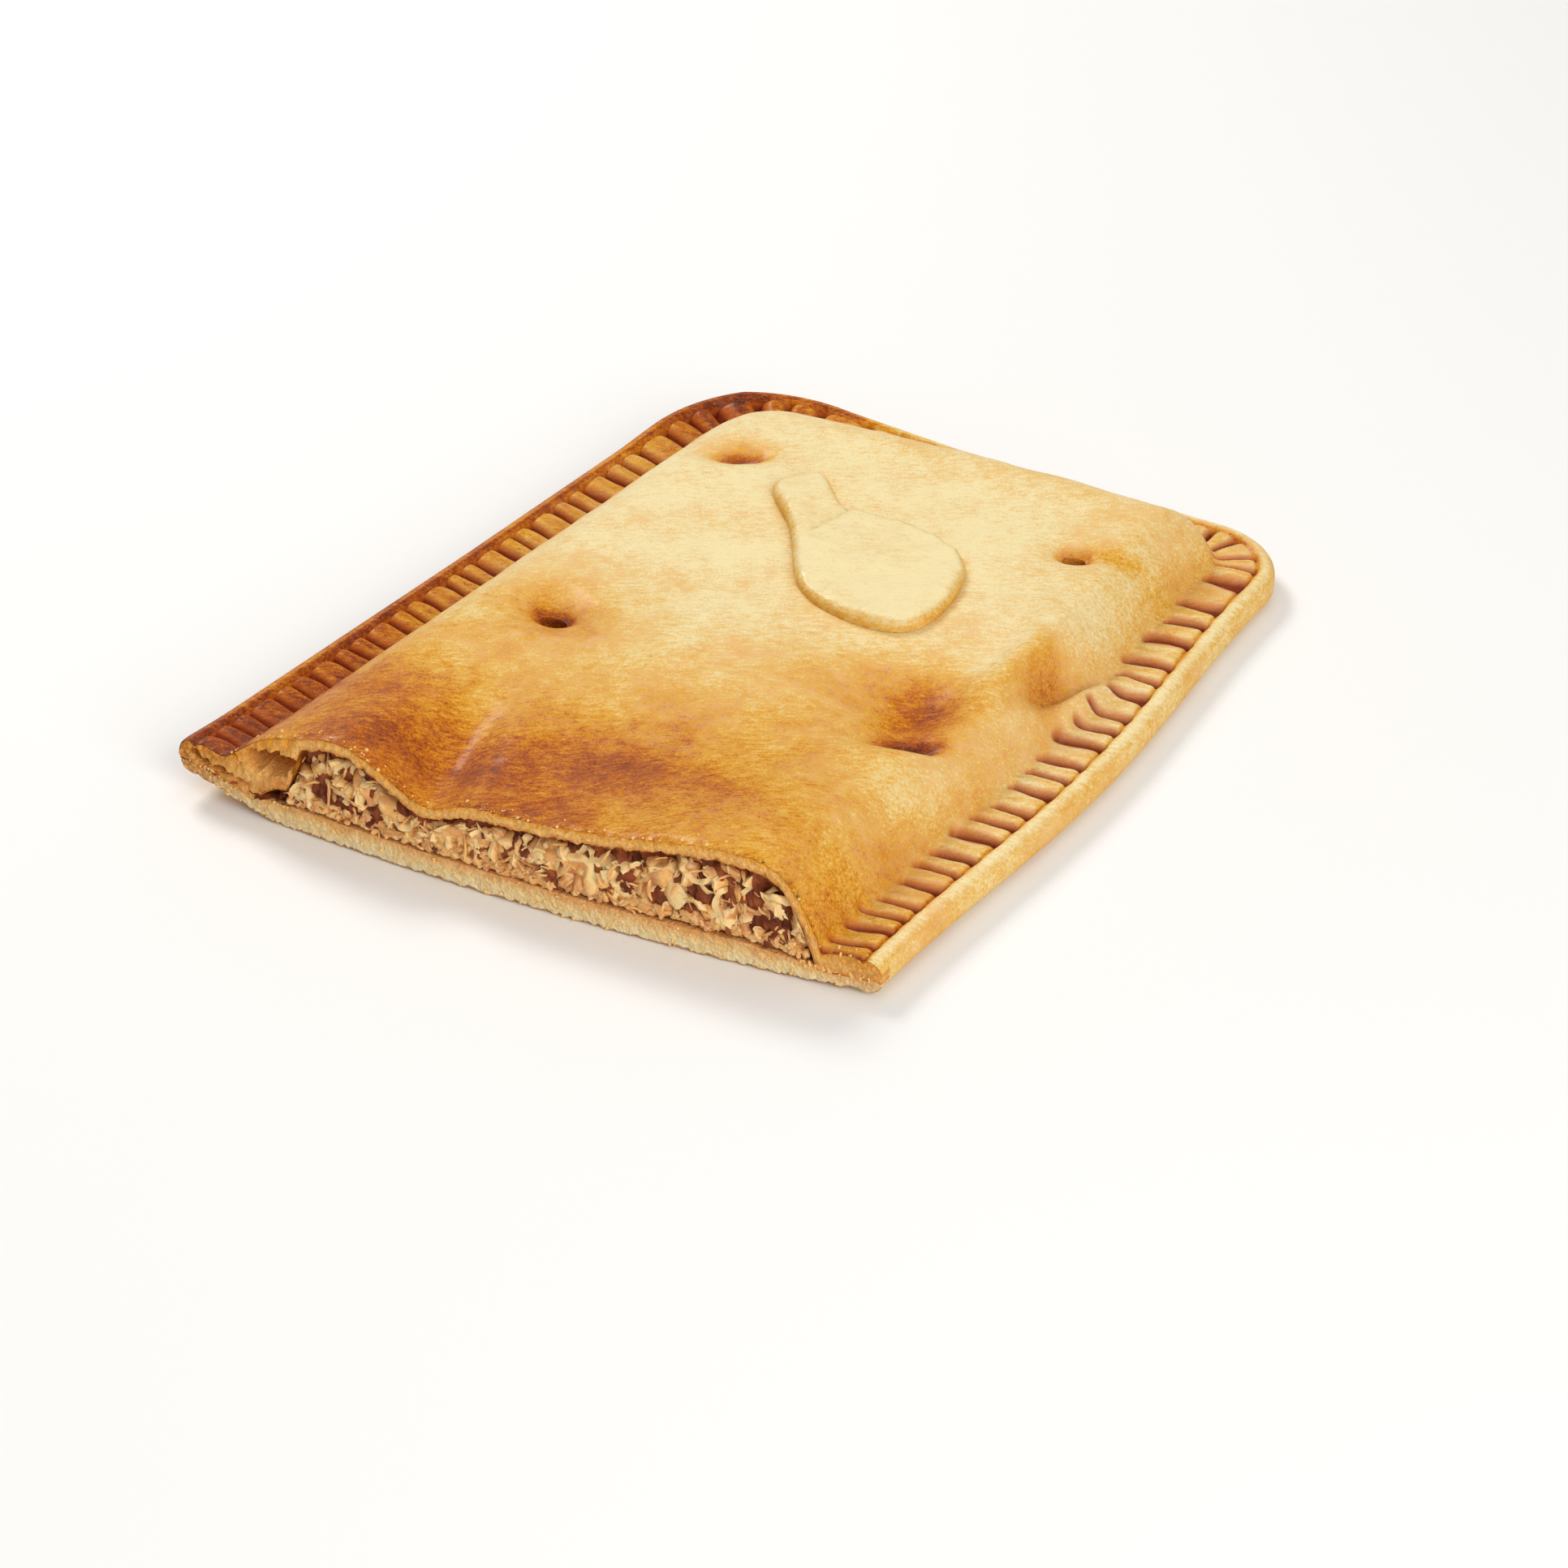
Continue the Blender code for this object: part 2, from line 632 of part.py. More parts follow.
def make_filling():
    """Tuna filling: fills the pocket from the cut to the far end, with torn flakes on the cut face."""
    loops = [filling_outline()]
    under_vents = [slit_loop(vent) for vent in VENTS.values()]
    top_points = np.concatenate([pocket_points(FACE_SET_BACK + 2 * MM), *under_vents])
    low_points = floor_points(FACE_SET_BACK + 2 * MM)
    core = slab("filling", loops, top_points, filling_top, low_points, filling_bottom)
    on_cut = np.abs(loops[0][:, 1] - knife_line(loops[0][:, 0]) - FACE_SET_BACK) < 0.05 * MM
    core.data["face_left"] = float(loops[0][on_cut, 0].min())
    core.data["face_right"] = float(loops[0][on_cut, 0].max())
    add_flakes(core)
    return core


def fish_outline(inset, step=3.4 * MM):
    """Plan outline of the dough fish, moved in by inset, with points about a step apart."""
    along, upper, lower = np.array(FISH_WIDTHS).T * MM
    corners = np.r_[np.c_[along, upper], np.c_[along, lower][::-1]]
    corners = np.r_[corners, corners[:1]]
    walked = np.r_[0, np.cumsum(np.linalg.norm(np.diff(corners, axis=0), axis=1))]
    at = np.linspace(0, walked[-1], round(walked[-1] / step), endpoint=False)
    loop = np.c_[np.interp(at, walked, corners[:, 0]), np.interp(at, walked, corners[:, 1])][::-1]
    forward = np.roll(loop, -1, axis=0) - np.roll(loop, 1, axis=0)
    forward /= np.linalg.norm(forward, axis=1)[:, None]
    loop = loop + np.c_[-forward[:, 1], forward[:, 0]] * inset
    cosine, sine = math.cos(FISH_TURN), math.sin(FISH_TURN)
    x = FISH_MIDDLE[0] + loop[:, 0] * cosine - loop[:, 1] * sine
    y = FISH_MIDDLE[1] + loop[:, 0] * sine + loop[:, 1] * cosine
    return np.c_[x, y]


def make_fish():
    """Flat dough fish that lies on the lid."""
    loop = fish_outline(0)
    inner = np.concatenate([fish_outline(1.2 * MM), spread_points(6 * MM, 20 * MM, 0)])
    points = inner[within(inner, fish_outline(1.0 * MM))]

    def bottom(plan):
        return lid_top(plan) + GAP

    def top(plan):
        away = plan[:, None, :] - loop[None]
        from_edge = np.linalg.norm(away, axis=2).min(1)
        rounded = np.sqrt(np.clip(from_edge / (3 * MM), 0, 1))
        return bottom(plan) + FISH_THICKNESS * (0.45 + 0.55 * rounded)

    return slab("dough_fish", [loop], points, top, points, bottom)


def centre_on_origin(pieces):
    """Moves the pie so that the middle of its footprint is the origin."""
    corners = np.array([tuple(v.co) for piece in pieces for v in piece.data.vertices])
    low, high = corners.min(0), corners.max(0)
    shift = Vector((-(low[0] + high[0]) / 2, -(low[1] + high[1]) / 2, -low[2]))
    for piece in pieces:
        piece.data.transform(Matrix.Translation(shift))


def main():
    clear_scene()
    pieces = [make_base(), make_filling(), make_lid(), make_fish()]
    centre_on_origin(pieces)


main()
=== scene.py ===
# %% [markdown]
# A tuna pie with its end cut off.
#
# The pie is two sheets of bread-like dough, crimped together round a flat filling of flaked tuna, brushed
# with egg and baked. One end has been cut away, so the filling shows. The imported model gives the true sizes
# and the plain solids. This lesson rebuilds each of them from the same measurements, with the fine relief
# and the colours that a baked pie has.

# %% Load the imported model
import math
import random

import bpy
import numpy as np
from mathutils import Matrix, Vector, noise
from mathutils.geometry import delaunay_2d_cdt


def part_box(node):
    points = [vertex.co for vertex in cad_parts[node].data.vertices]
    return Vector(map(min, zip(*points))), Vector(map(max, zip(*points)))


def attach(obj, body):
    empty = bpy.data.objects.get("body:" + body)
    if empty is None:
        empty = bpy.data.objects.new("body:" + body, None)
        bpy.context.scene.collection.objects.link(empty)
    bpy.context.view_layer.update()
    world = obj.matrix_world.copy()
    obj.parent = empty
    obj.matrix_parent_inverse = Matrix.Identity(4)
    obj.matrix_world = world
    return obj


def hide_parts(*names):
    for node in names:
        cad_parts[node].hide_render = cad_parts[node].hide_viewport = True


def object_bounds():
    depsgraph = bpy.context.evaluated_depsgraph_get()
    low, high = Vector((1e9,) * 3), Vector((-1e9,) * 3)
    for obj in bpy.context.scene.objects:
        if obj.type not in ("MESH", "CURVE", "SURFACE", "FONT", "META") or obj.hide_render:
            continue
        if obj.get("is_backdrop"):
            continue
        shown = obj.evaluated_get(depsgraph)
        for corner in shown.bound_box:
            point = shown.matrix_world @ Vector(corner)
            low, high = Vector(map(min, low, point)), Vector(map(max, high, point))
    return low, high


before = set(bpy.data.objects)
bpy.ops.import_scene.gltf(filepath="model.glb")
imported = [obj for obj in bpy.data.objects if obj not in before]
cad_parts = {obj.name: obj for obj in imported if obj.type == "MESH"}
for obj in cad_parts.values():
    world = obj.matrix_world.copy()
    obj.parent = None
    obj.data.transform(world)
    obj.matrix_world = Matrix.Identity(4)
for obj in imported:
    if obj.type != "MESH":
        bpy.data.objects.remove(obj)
cad_box = [np.array(corner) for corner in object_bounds()]
MM = 0.001  # one millimetre, in metres
print("nodes:", sorted(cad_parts))

# %% [markdown]
# The rim line.
#
# Everything on a pie is laid out from its edge: the bead runs along it, the crimps stand square to it and
# the dome begins a set way in. So the first thing to make is the line itself, as a list of points a
# millimetre apart, from beyond the cut on the left, round the far end, to beyond the cut on the right. It
# could be drawn as a curve object, but plain numbers are easier to measure against, and measuring is all we
# need it for.

# %% The rim line
CUT_LEFT, CUT_RIGHT = np.array([-83.2, -96.0]) * MM, np.array([77.3, -94.0]) * MM
FAR_LEFT, FAR_RIGHT = np.array([-65.8, 99.7]) * MM, np.array([81.0, 97.2]) * MM
FAR_LEFT_RADIUS, FAR_RIGHT_RADIUS = 33 * MM, 20 * MM
RIGHT_SIDE_BOW, CUT_BOW, BEYOND_CUT = 4.2 * MM, 4.3 * MM, 25 * MM


def unit(v):
    return v / np.linalg.norm(v)


def rounded_corner(before, corner, after, radius):
    """Points of the arc that rounds one corner."""
    back, on = unit(before - corner), unit(after - corner)
    half = math.acos(float(back @ on)) / 2
    centre = corner + unit(back + on) * radius / math.sin(half)
    start = corner + back * radius / math.tan(half) - centre
    turns = np.linspace(0, -(math.pi - 2 * half), 60)
    cosine, sine = np.cos(turns), np.sin(turns)
    return centre + np.c_[start[0] * cosine - start[1] * sine, start[0] * sine + start[1] * cosine]


def rim_line():
    first = CUT_LEFT + unit(CUT_LEFT - FAR_LEFT) * BEYOND_CUT
    last = CUT_RIGHT + unit(CUT_RIGHT - FAR_RIGHT) * BEYOND_CUT
    left_arc = rounded_corner(CUT_LEFT, FAR_LEFT, FAR_RIGHT, FAR_LEFT_RADIUS)
    right_arc = rounded_corner(FAR_LEFT, FAR_RIGHT, CUT_RIGHT, FAR_RIGHT_RADIUS)
    path = np.concatenate([[first], left_arc, right_arc, [last]])
    walked = np.r_[0, np.cumsum(np.linalg.norm(np.diff(path, axis=0), axis=1))]
    at = np.linspace(0, walked[-1], round(walked[-1] / MM))
    line = np.c_[np.interp(at, walked, path[:, 0]), np.interp(at, walked, path[:, 1])]
    share = (line[:, 1] - CUT_RIGHT[1]) / (FAR_RIGHT[1] - FAR_RIGHT_RADIUS - CUT_RIGHT[1])
    bowed = (line[:, 0] > 0) & (share > 0) & (share < 1)
    line[bowed, 0] += RIGHT_SIDE_BOW * np.sin(np.pi * share[bowed]) ** 2
    return line


line = rim_line()
shift = np.array([0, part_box("lid")[1][1] - line[:, 1].max()])
line_steps = np.linalg.norm(np.diff(line, axis=0), axis=1)
line_at = np.r_[0, np.cumsum(line_steps)]
print("rim line of", len(line), "points; the packed model lies", round(shift[1] / MM, 2), "mm further back")


# %% Measuring from the rim line
def depth_and_along(points):
    """How far in from the rim line each plan point lies, and how far along the line."""
    starts, spans = line[:-1], np.diff(line, axis=0)
    depth, along = [], []
    for some in np.array_split(points, len(points) // 3000 + 1):
        away = some[:, None, :] - starts[None]
        share = np.clip((away * spans).sum(2) / (spans**2).sum(1), 0, 1)
        gap = np.linalg.norm(away - share[..., None] * spans, axis=2)
        row, nearest = np.arange(len(some)), gap.argmin(1)
        depth.append(gap[row, nearest])
        along.append(line_at[nearest] + share[row, nearest] * line_steps[nearest])
    return np.concatenate(depth), np.concatenate(along)


def on_line(along, depth):
    """Plan points a depth in from the rim line."""
    tangent = np.gradient(line, axis=0)
    tangent /= np.linalg.norm(tangent, axis=1)[:, None]
    inward = np.c_[tangent[:, 1], -tangent[:, 0]]
    x, y, inward_x, inward_y = [np.interp(along, line_at, v) for v in (*line.T, *inward.T)]
    return np.c_[x + inward_x * depth, y + inward_y * depth]


def length_at(x, y):
    return line_at[np.hypot(line[:, 0] - x, line[:, 1] - y).argmin()]


def knife_line(x):
    """y of the cut, which bows a little between its ends."""
    share = (x - CUT_LEFT[0]) / (CUT_RIGHT[0] - CUT_LEFT[0])
    straight = CUT_LEFT[1] + share * (CUT_RIGHT[1] - CUT_LEFT[1])
    return straight - CUT_BOW * np.sin(np.pi * np.clip(share, 0, 1))


cut_start, cut_end = length_at(*CUT_LEFT), length_at(*CUT_RIGHT)
print("baked rim:", round((cut_end - cut_start) / MM), "mm long")

# %% [markdown]
# The heights.
#
# A pie is nearly a height field: from above, each point has one height for the top of the lid, one for its
# underside, and so on down. That lets us write the shape as sums of small named things, a bead, a groove, a
# hill, a dip round a vent, instead of pushing points about by hand. The places round the rim are listed
# once, with how far the edge curled up in the oven there, and how wide, how deep and how slanted its crimps
# are.

# %% Rim and crimps
# x, y, curl off the table, crimp width, groove depth, slant, crimp length, where the dome starts and its run
RIM_PLACES = np.array(
    [
        (-83, -96, 5.0, 6.4, 2.4, 0.0, 8.2, 11.8, 19),
        (-74, 0, 4.6, 6.4, 3.4, 0.0, 8.2, 11.8, 19),
        (-69, 56, 5.0, 7.0, 3.7, 0.0, 8.4, 11.8, 19),
        (-65, 73, 5.8, 10.8, 4.1, 0.0, 8.6, 11.8, 19),
        (-57, 91, 6.8, 9.4, 4.4, 0.0, 8.8, 11.8, 19),
        (-32, 99, 4.0, 10.2, 3.8, 0.0, 8.4, 11.8, 19),
        (-5, 99, 1.8, 8.8, 3.4, 0.0, 8.2, 11.8, 19),
        (40, 98, 0.9, 8.7, 3.4, 0.0, 8.2, 11.8, 19),
        (76, 92, 0.0, 8.6, 3.4, 0.05, 8.6, 13.0, 17),
        (82, 62, 0.0, 9.8, 3.5, 0.06, 9.4, 14.6, 14),
        (83, 20, 0.0, 7.5, 3.8, 0.08, 9.6, 15.0, 14),
        (79, -25, 0.2, 7.2, 3.8, 0.1, 9.4, 14.8, 14),
        (78, -62, 0.5, 6.9, 3.7, 0.12, 9.2, 14.2, 13),
        (77, -94, 0.8, 4.6, 2.4, 0.26, 8.6, 12.7, 13),
    ]
)
RIM_HEIGHT, SEAM_HEIGHT = 7.4 * MM, 3.6 * MM
BEAD_RADIUS, BEAD_FLAT = 3.4 * MM, 0.25
CRIMP_START, CRIMP_FADE = 3.9 * MM, 1.2 * MM
CRIMP_OFFSET, LIFT_REACH = 0.2, 26 * MM
places_at = np.array([length_at(x * MM, y * MM) for x, y in RIM_PLACES[:, :2]])


def smooth(t):
    t = np.clip(t, 0.0, 1.0)
    return t * t * (3.0 - 2.0 * t)


def by_place(along, column):
    return np.interp(along, places_at, RIM_PLACES[:, column])


crimp_count = CRIMP_OFFSET + np.cumsum(line_at[1] / (by_place(line_at, 3) * MM))


def curl(depth, along):
    """Height of the underside over the table."""
    return by_place(along, 2) * MM * (1 - smooth(depth / LIFT_REACH))


def crimp_phase(depth, along):
    """Distance to the nearest groove, as a share of a crimp."""
    slanted = along - by_place(along, 5) * (depth - CRIMP_START)
    count = np.interp(slanted, line_at, crimp_count)
    count = count + 0.13 * np.sin(count * 2.1) + 0.05 * np.sin(count * 5.3 + depth / (3 * MM))
    return count - np.round(count)


def crimp_reach(along):
    """How far in each crimp goes, which varies by a tenth from one to the next."""
    number = np.round(np.interp(along, line_at, crimp_count))
    return by_place(along, 6) * MM * (0.98 + 0.1 * np.sin(number * 1.7) * np.cos(number * 0.6))


def groove(depth, along):
    """1 in the middle of a groove, 0 on a crimp and off the crimped band."""
    phase = crimp_phase(depth, along)
    sharp = np.exp(-((phase / 0.085) ** 2))
    rounded = np.abs(2 * phase)
    rounded = (1 - rounded) ** 1.9
    reach = crimp_reach(along)
    starts = smooth((depth - CRIMP_START + 0.6 * MM) / (1.1 * MM))
    ends = 1 - smooth((depth - CRIMP_START - reach) / CRIMP_FADE)
    deep = np.clip(1.15 - 0.3 * (depth - CRIMP_START) / reach, 0, 2)
    return (0.3 * sharp + 0.7 * rounded) * starts * ends * deep


def crown(depth, along):
    """The swell of each crimp between its grooves, highest near its two ends."""
    phase = crimp_phase(depth, along)
    share = (depth - CRIMP_START) / (crimp_reach(along) + 0.5 * CRIMP_FADE)
    band = np.clip(1 - (2 * share - 1) ** 6, 0, 1) * (share > 0) * (share < 1)
    return np.clip(1 - (2.1 * phase) ** 2, 0, 1) * band


def bead_fall(depth):
    inner = np.clip(depth / BEAD_RADIUS, 0, 1)
    return BEAD_RADIUS * (1 - BEAD_FLAT) * (1 - np.sqrt(1 - (1 - inner) ** 2))


def score_line(depth):
    """The fine crease between the bead and the crimps."""
    return np.exp(-(((depth - CRIMP_START - 0.1 * MM) / (0.45 * MM)) ** 2))


first_crimp, last_crimp = np.interp((cut_start, cut_end), line_at, crimp_count)
print("crimps round the rim:", round(last_crimp - first_crimp))

# %% Dome, hills, hollows and vents
DOME_FOOT, DOME_EASE, DOME_HEIGHT = 0.5 * MM, 2.5, 21.5 * MM
LID_THICKNESS, BASE_THICKNESS = 3.6 * MM, 5.3 * MM
# x, y, reach across, reach along, turn in degrees, height
SWELLS = [
    (44, -88, 20, 26, 0, 4.6),
    (-43, -94, 9, 16, 0, 3.4),
    (-24, -90, 8, 24, 12, -5.4),
    (-4, -84, 15, 22, 0, -2.2),
    (61, 14, 7, 14, 0, 2.6),
    (52, 2, 5, 14, -10, -1.8),
    (64.8, 7, 2.6, 11, -8, -10.0),
    (22, 74, 52, 9, 0, 1.8),
    (-40, 72, 16, 10, 0, -1.0),
    (2, -30, 30, 24, 0, 1.4),
    (45, -23, 12, 15, 22, -6.0),
    (50, -47, 10, 6, 20, 1.4),
    (43, -28, 1.8, 7, -20, 1.2),
    (56, 50, 7, 4, 28, -1.5),
]
RIM_SWELLS = [(-72, -97, 10, 9, 0, 1.6), (64, -97, 9, 7, 0, 0.8), (69.0, 9, 2.0, 11, -8, 4.6)]
# x, y, reach across, reach along, turn, dip, half length and half width of the slit
VENTS = [
    (-36, 52, 8.5, 5, 20, 2.6, 0.8, 2.6),
    (48.8, 46.5, 5, 5, 28, 1.6, 2.2, 2.6),
    (52.5, -37, 7, 4, 26, 3.0, 1.2, 3.2),
    (-36, -27, 9, 7, -12, 3.6, 2.2, 3.4),
]


def oval(points, x, y, across, along, turn=0):
    """Squared distance from the middle of a turned oval, 1 on the oval. Sizes are in millimetres."""
    cosine, sine = math.cos(math.radians(turn)), math.sin(math.radians(turn))
    away_x, away_y = points[:, 0] / MM - x, points[:, 1] / MM - y
    own_x, own_y = away_x * cosine + away_y * sine, away_y * cosine - away_x * sine
    return (own_x / across) ** 2 + (own_y / along) ** 2


def patches(points, rows):
    """Sum of soft ovals."""
    return sum(row[-1] * np.exp(-oval(points, *row[:-1])) for row in rows)


def noise_at(places):
    """Smooth noise from -1 to 1 at each place."""
    return np.array([noise.noise(Vector(p)) for p in places])


def rough(points, scale, seed=0.0):
    """Noise from -1 to 1 at each point; scale is in millimetres."""
    return noise_at(points / (scale * MM) + seed)


def dome_rise(depth, along):
    """0 on the rim, 1 on the dome, with a soft foot."""
    inner = DOME_FOOT * np.log1p(np.exp((depth - by_place(along, 7) * MM) / DOME_FOOT))
    return 1 - (1 - np.clip(inner / (by_place(along, 8) * MM), 0, 1)) ** DOME_EASE


def along_slope(depth, along):
    """How much longer a sheet's upright thickness is than its true one, on the side of the dome."""
    run = by_place(along, 8) * MM
    share = np.clip((depth - by_place(along, 7) * MM) / run, 0, 1)
    slope = DOME_EASE * (DOME_HEIGHT - RIM_HEIGHT) / run * (1 - share) ** (DOME_EASE - 1)
    return np.sqrt(1 + (0.8 * slope) ** 2)


def plain_lid_top(points, depth, along):
    rim = curl(depth, along) + (RIM_HEIGHT + patches(points, RIM_SWELLS) * MM)
    top = DOME_HEIGHT + (patches(points, SWELLS) - patches(points, [v[:6] for v in VENTS])) * MM
    return rim + dome_rise(depth, along) * np.maximum(top - rim, 0)


def vent_lip(points):
    """1 at a slit's edge, falling to 0 a few millimetres out."""
    near = [np.sqrt(oval(points, v[0], v[1], v[7], v[6], v[4])) for v in VENTS]
    out = [(r - 1) * min(v[6], v[7]) for r, v in zip(near, VENTS)]
    return np.exp(-((np.clip(np.min(out, axis=0), 0, None) / 1.3) ** 2))


def from_knife(points):
    return points[:, 1] - knife_line(points[:, 0])


def lid_top(points):
    depth, along = depth_and_along(points)
    pressed = by_place(along, 4) * groove(depth, along) + 0.7 * score_line(depth) - 0.7 * crown(depth, along)
    flat = np.c_[points, np.zeros(len(points))]
    uneven = 0.35 * rough(flat, 17) + 0.22 * rough(flat, 6, 4.0) + 0.07 * rough(flat, 1.9, 9.0)
    uneven = uneven * smooth((depth - 2 * MM) / (8 * MM))
    uneven = uneven * (1 - np.exp(-((from_knife(points) / (2 * MM)) ** 2)))
    worn = np.exp(-from_knife(points) / (0.5 * MM)) * (0.35 + 0.3 * rough(flat, 1.1, 2.0))
    fall = pressed + 1.1 * vent_lip(points) + worn
    top = plain_lid_top(points, depth, along) - bead_fall(depth) + (uneven - fall) * MM
    return np.maximum(top, curl(depth, along) + SEAM_HEIGHT - 0.4 * MM)


def thick_end(points):
    """1 where the dough is one thick lump, at the left end of the cut."""
    return smooth((-51 * MM - points[:, 0]) / (5 * MM)) * smooth((-85 * MM - points[:, 1]) / (6 * MM))


def lid_underside(points):
    depth, along = depth_and_along(points)
    seam = curl(depth, along) + SEAM_HEIGHT - 0.9 * MM
    flat = np.c_[points, np.zeros(len(points))]
    torn = 0.5 * rough(flat, 2.3, 5.0) + 0.4 * rough(flat, 0.9, 1.0) - 0.5
    torn = torn * np.exp(-from_knife(points) / (0.9 * MM))
    thick = LID_THICKNESS * along_slope(depth, along) + 9.5 * MM * thick_end(points) + torn * MM
    return np.maximum(seam, plain_lid_top(points, depth, along) - thick)


def base_top(points):
    depth, along = depth_and_along(points)
    rise = smooth((depth - 11.5 * MM) / (19 * MM))
    return curl(depth, along) + SEAM_HEIGHT + rise * (BASE_THICKNESS - SEAM_HEIGHT)


def base_underside(points):
    depth, along = depth_and_along(points)
    flat = np.c_[points, np.zeros(len(points))]
    ragged = np.clip(0.4 + 1.0 * rough(flat, 1.7, 6.0) + 1.0 * rough(flat, 0.9, 7.0), 0, 2)
    ragged = ragged * np.exp(-from_knife(points) / (0.7 * MM)) * smooth((depth - 2 * MM) / (4 * MM))
    return curl(depth, along) + bead_fall(depth) + 0.75 * MM * ragged


# %% [markdown]
# From heights to closed meshes.
#
# A grid would cut across the crimps and make a staircase of the edge. Delaunay triangles take any set of
# plan points and any outline, so the points can be dense where the rim needs them and sparse in the middle.
# Each sheet of dough is an upper and a lower surface over one outline, and a wall between them. The wall is
# where the knife went, so it gets rows of its own, and crumb is roughed into it.


# %% Sheets over an outline
def within(points, loop):
    """True where a plan point lies inside a closed loop."""
    x, y = points[:, 0][:, None], points[:, 1][:, None]
    x0, y0 = loop.T
    x1, y1 = np.roll(x0, -1), np.roll(y0, -1)
    crosses = (y0 > y) != (y1 > y)
    at = x0 + (y - y0) / np.where(y1 == y0, 1.0, y1 - y0) * (x1 - x0)
    return ((crosses & (x < at)).sum(1) % 2) == 1


def triangles_over(loops, points):
    """Delaunay triangles between an outline, its holes and free points."""
    for hole in loops[1:]:
        points = points[~within(points, hole)]
    corners = [Vector(p / MM) for p in np.concatenate([*loops, points])]
    edges, first = [], 0
    for loop in loops:
        edges += [(first + i, first + (i + 1) % len(loop)) for i in range(len(loop))]
        first += len(loop)
    verts, _, faces, sources, _, _ = delaunay_2d_cdt(corners, edges, [], 1, 1e-5)
    plan, faces = np.array([tuple(v) for v in verts]) * MM, np.array(faces)
    centres = plan[faces].mean(1)
    for hole in loops[1:]:
        keep = ~within(centres, hole)
        faces, centres = faces[keep], centres[keep]
    number = {source: i for i, group in enumerate(sources) for source in group}
    rings, first = [], 0
    for loop in loops:
        rings.append(np.array([number[first + i] for i in range(len(loop))]))
        first += len(loop)
    return plan, faces, rings


# x, height, half width, half height, turn and depth of the hollows that show in the cut dough
HOLLOWS = [
    (-60.0, 14.2, 7.2, 2.5, 14, 7.5),
    (-74.0, 8.7, 5.8, 0.6, -9, 4.0),
    (-79.4, 10.6, 1.6, 0.5, 20, 1.6),
    (-66.5, 7.2, 1.8, 0.4, 10, 1.0),
]


def hollowed(places):
    """How far a cut face is pushed in, in metres, and how far inside a hollow it is, 0 to 1."""
    push, inside = np.zeros(len(places)), np.zeros(len(places))
    uneven = 0.45 * rough(places, 2.4, 11.0) + 0.1 * rough(places, 0.9, 12.0)
    for x, z, half_x, half_z, turn, deep in HOLLOWS:
        reach = np.sqrt(oval(places[:, [0, 2]], x, z, half_x, half_z, turn)) + uneven
        share = smooth((1.12 - reach) / 0.3)
        push = np.maximum(push, share * deep * MM * np.clip(1.1 - 0.4 * reach**2, 0.3, 1))
        inside = np.maximum(inside, share)
    return push, inside


def wall_rows(high, low, on_cut, rows, crumb, lean, caves):
    """The points of a wall between its two edges, one array for each row."""
    for row in range(1, rows):
        share = row / rows
        middle = high + (low - high) * share
        fine = 0.6 * rough(middle, 1.7, 3.0) + 0.5 * rough(middle, 0.8, 8.0) + 0.3 * rough(middle, 0.45, 9.0)
        push, inside = hollowed(middle)
        cave = np.clip(0.35 + 1.7 * rough(middle, 4.2, 20.0), 0, 1.3) * math.sin(math.pi * share) ** 0.6
        push = push + caves * cave
        crumb_here = crumb * MM * (1 + 0.9 * thick_end(middle[:, :2]))
        bulge = crumb_here * (fine + 0.35 * math.sin(math.pi * share) - 0.2)
        middle[:, 1] += on_cut * (push - bulge - lean * share)
        middle[:, 2] += on_cut * 0.2 * MM * rough(middle, 0.9, 4.0)
        yield middle, on_cut * 1.0, np.full(len(middle), share), on_cut * inside


def sheet(name, loops, top_points, top, bottom_points, bottom, rows=5, crumb=0.4, lean=0, caves=0):
    """A closed sheet. Attributes tell the cut face, how far down it and how hollow each point is."""
    plan, upper, rings = triangles_over(loops, top_points)
    low_plan, lower, low_rings = triangles_over(loops, bottom_points)
    offset = total = len(plan)
    total += len(low_plan)
    blank = np.zeros(total)
    verts = [np.c_[plan, top(plan)], np.c_[low_plan, bottom(low_plan)]]
    section, down, hollow = [blank], [np.r_[np.zeros(offset), np.ones(len(low_plan))]], [blank]
    faces = [upper, lower[:, ::-1] + offset]
    for ring, low_ring, loop in zip(rings, low_rings, loops):
        on_cut = np.abs(loop[:, 1] - knife_line(loop[:, 0])) < 3.0 * MM
        walls = [ring]
        edges = verts[0][ring], verts[1][low_ring]
        for middle, *values in wall_rows(*edges, on_cut, rows, crumb, lean, caves):
            walls.append(np.arange(total, total + len(middle)))
            total += len(middle)
            verts.append(middle)
            for store, value in zip((section, down, hollow), values):
                store.append(value)
        walls.append(low_ring + offset)
        for above, below in zip(walls[:-1], walls[1:]):
            above_next, below_next = np.roll(above, -1), np.roll(below, -1)
            faces.append(np.c_[above, below, above_next])
            faces.append(np.c_[above_next, below, below_next])
    values = {"section": section, "down": down, "hollow": hollow}
    values = {key: np.concatenate(parts) for key, parts in values.items()}
    return build(name, np.concatenate(verts), np.concatenate(faces), values)


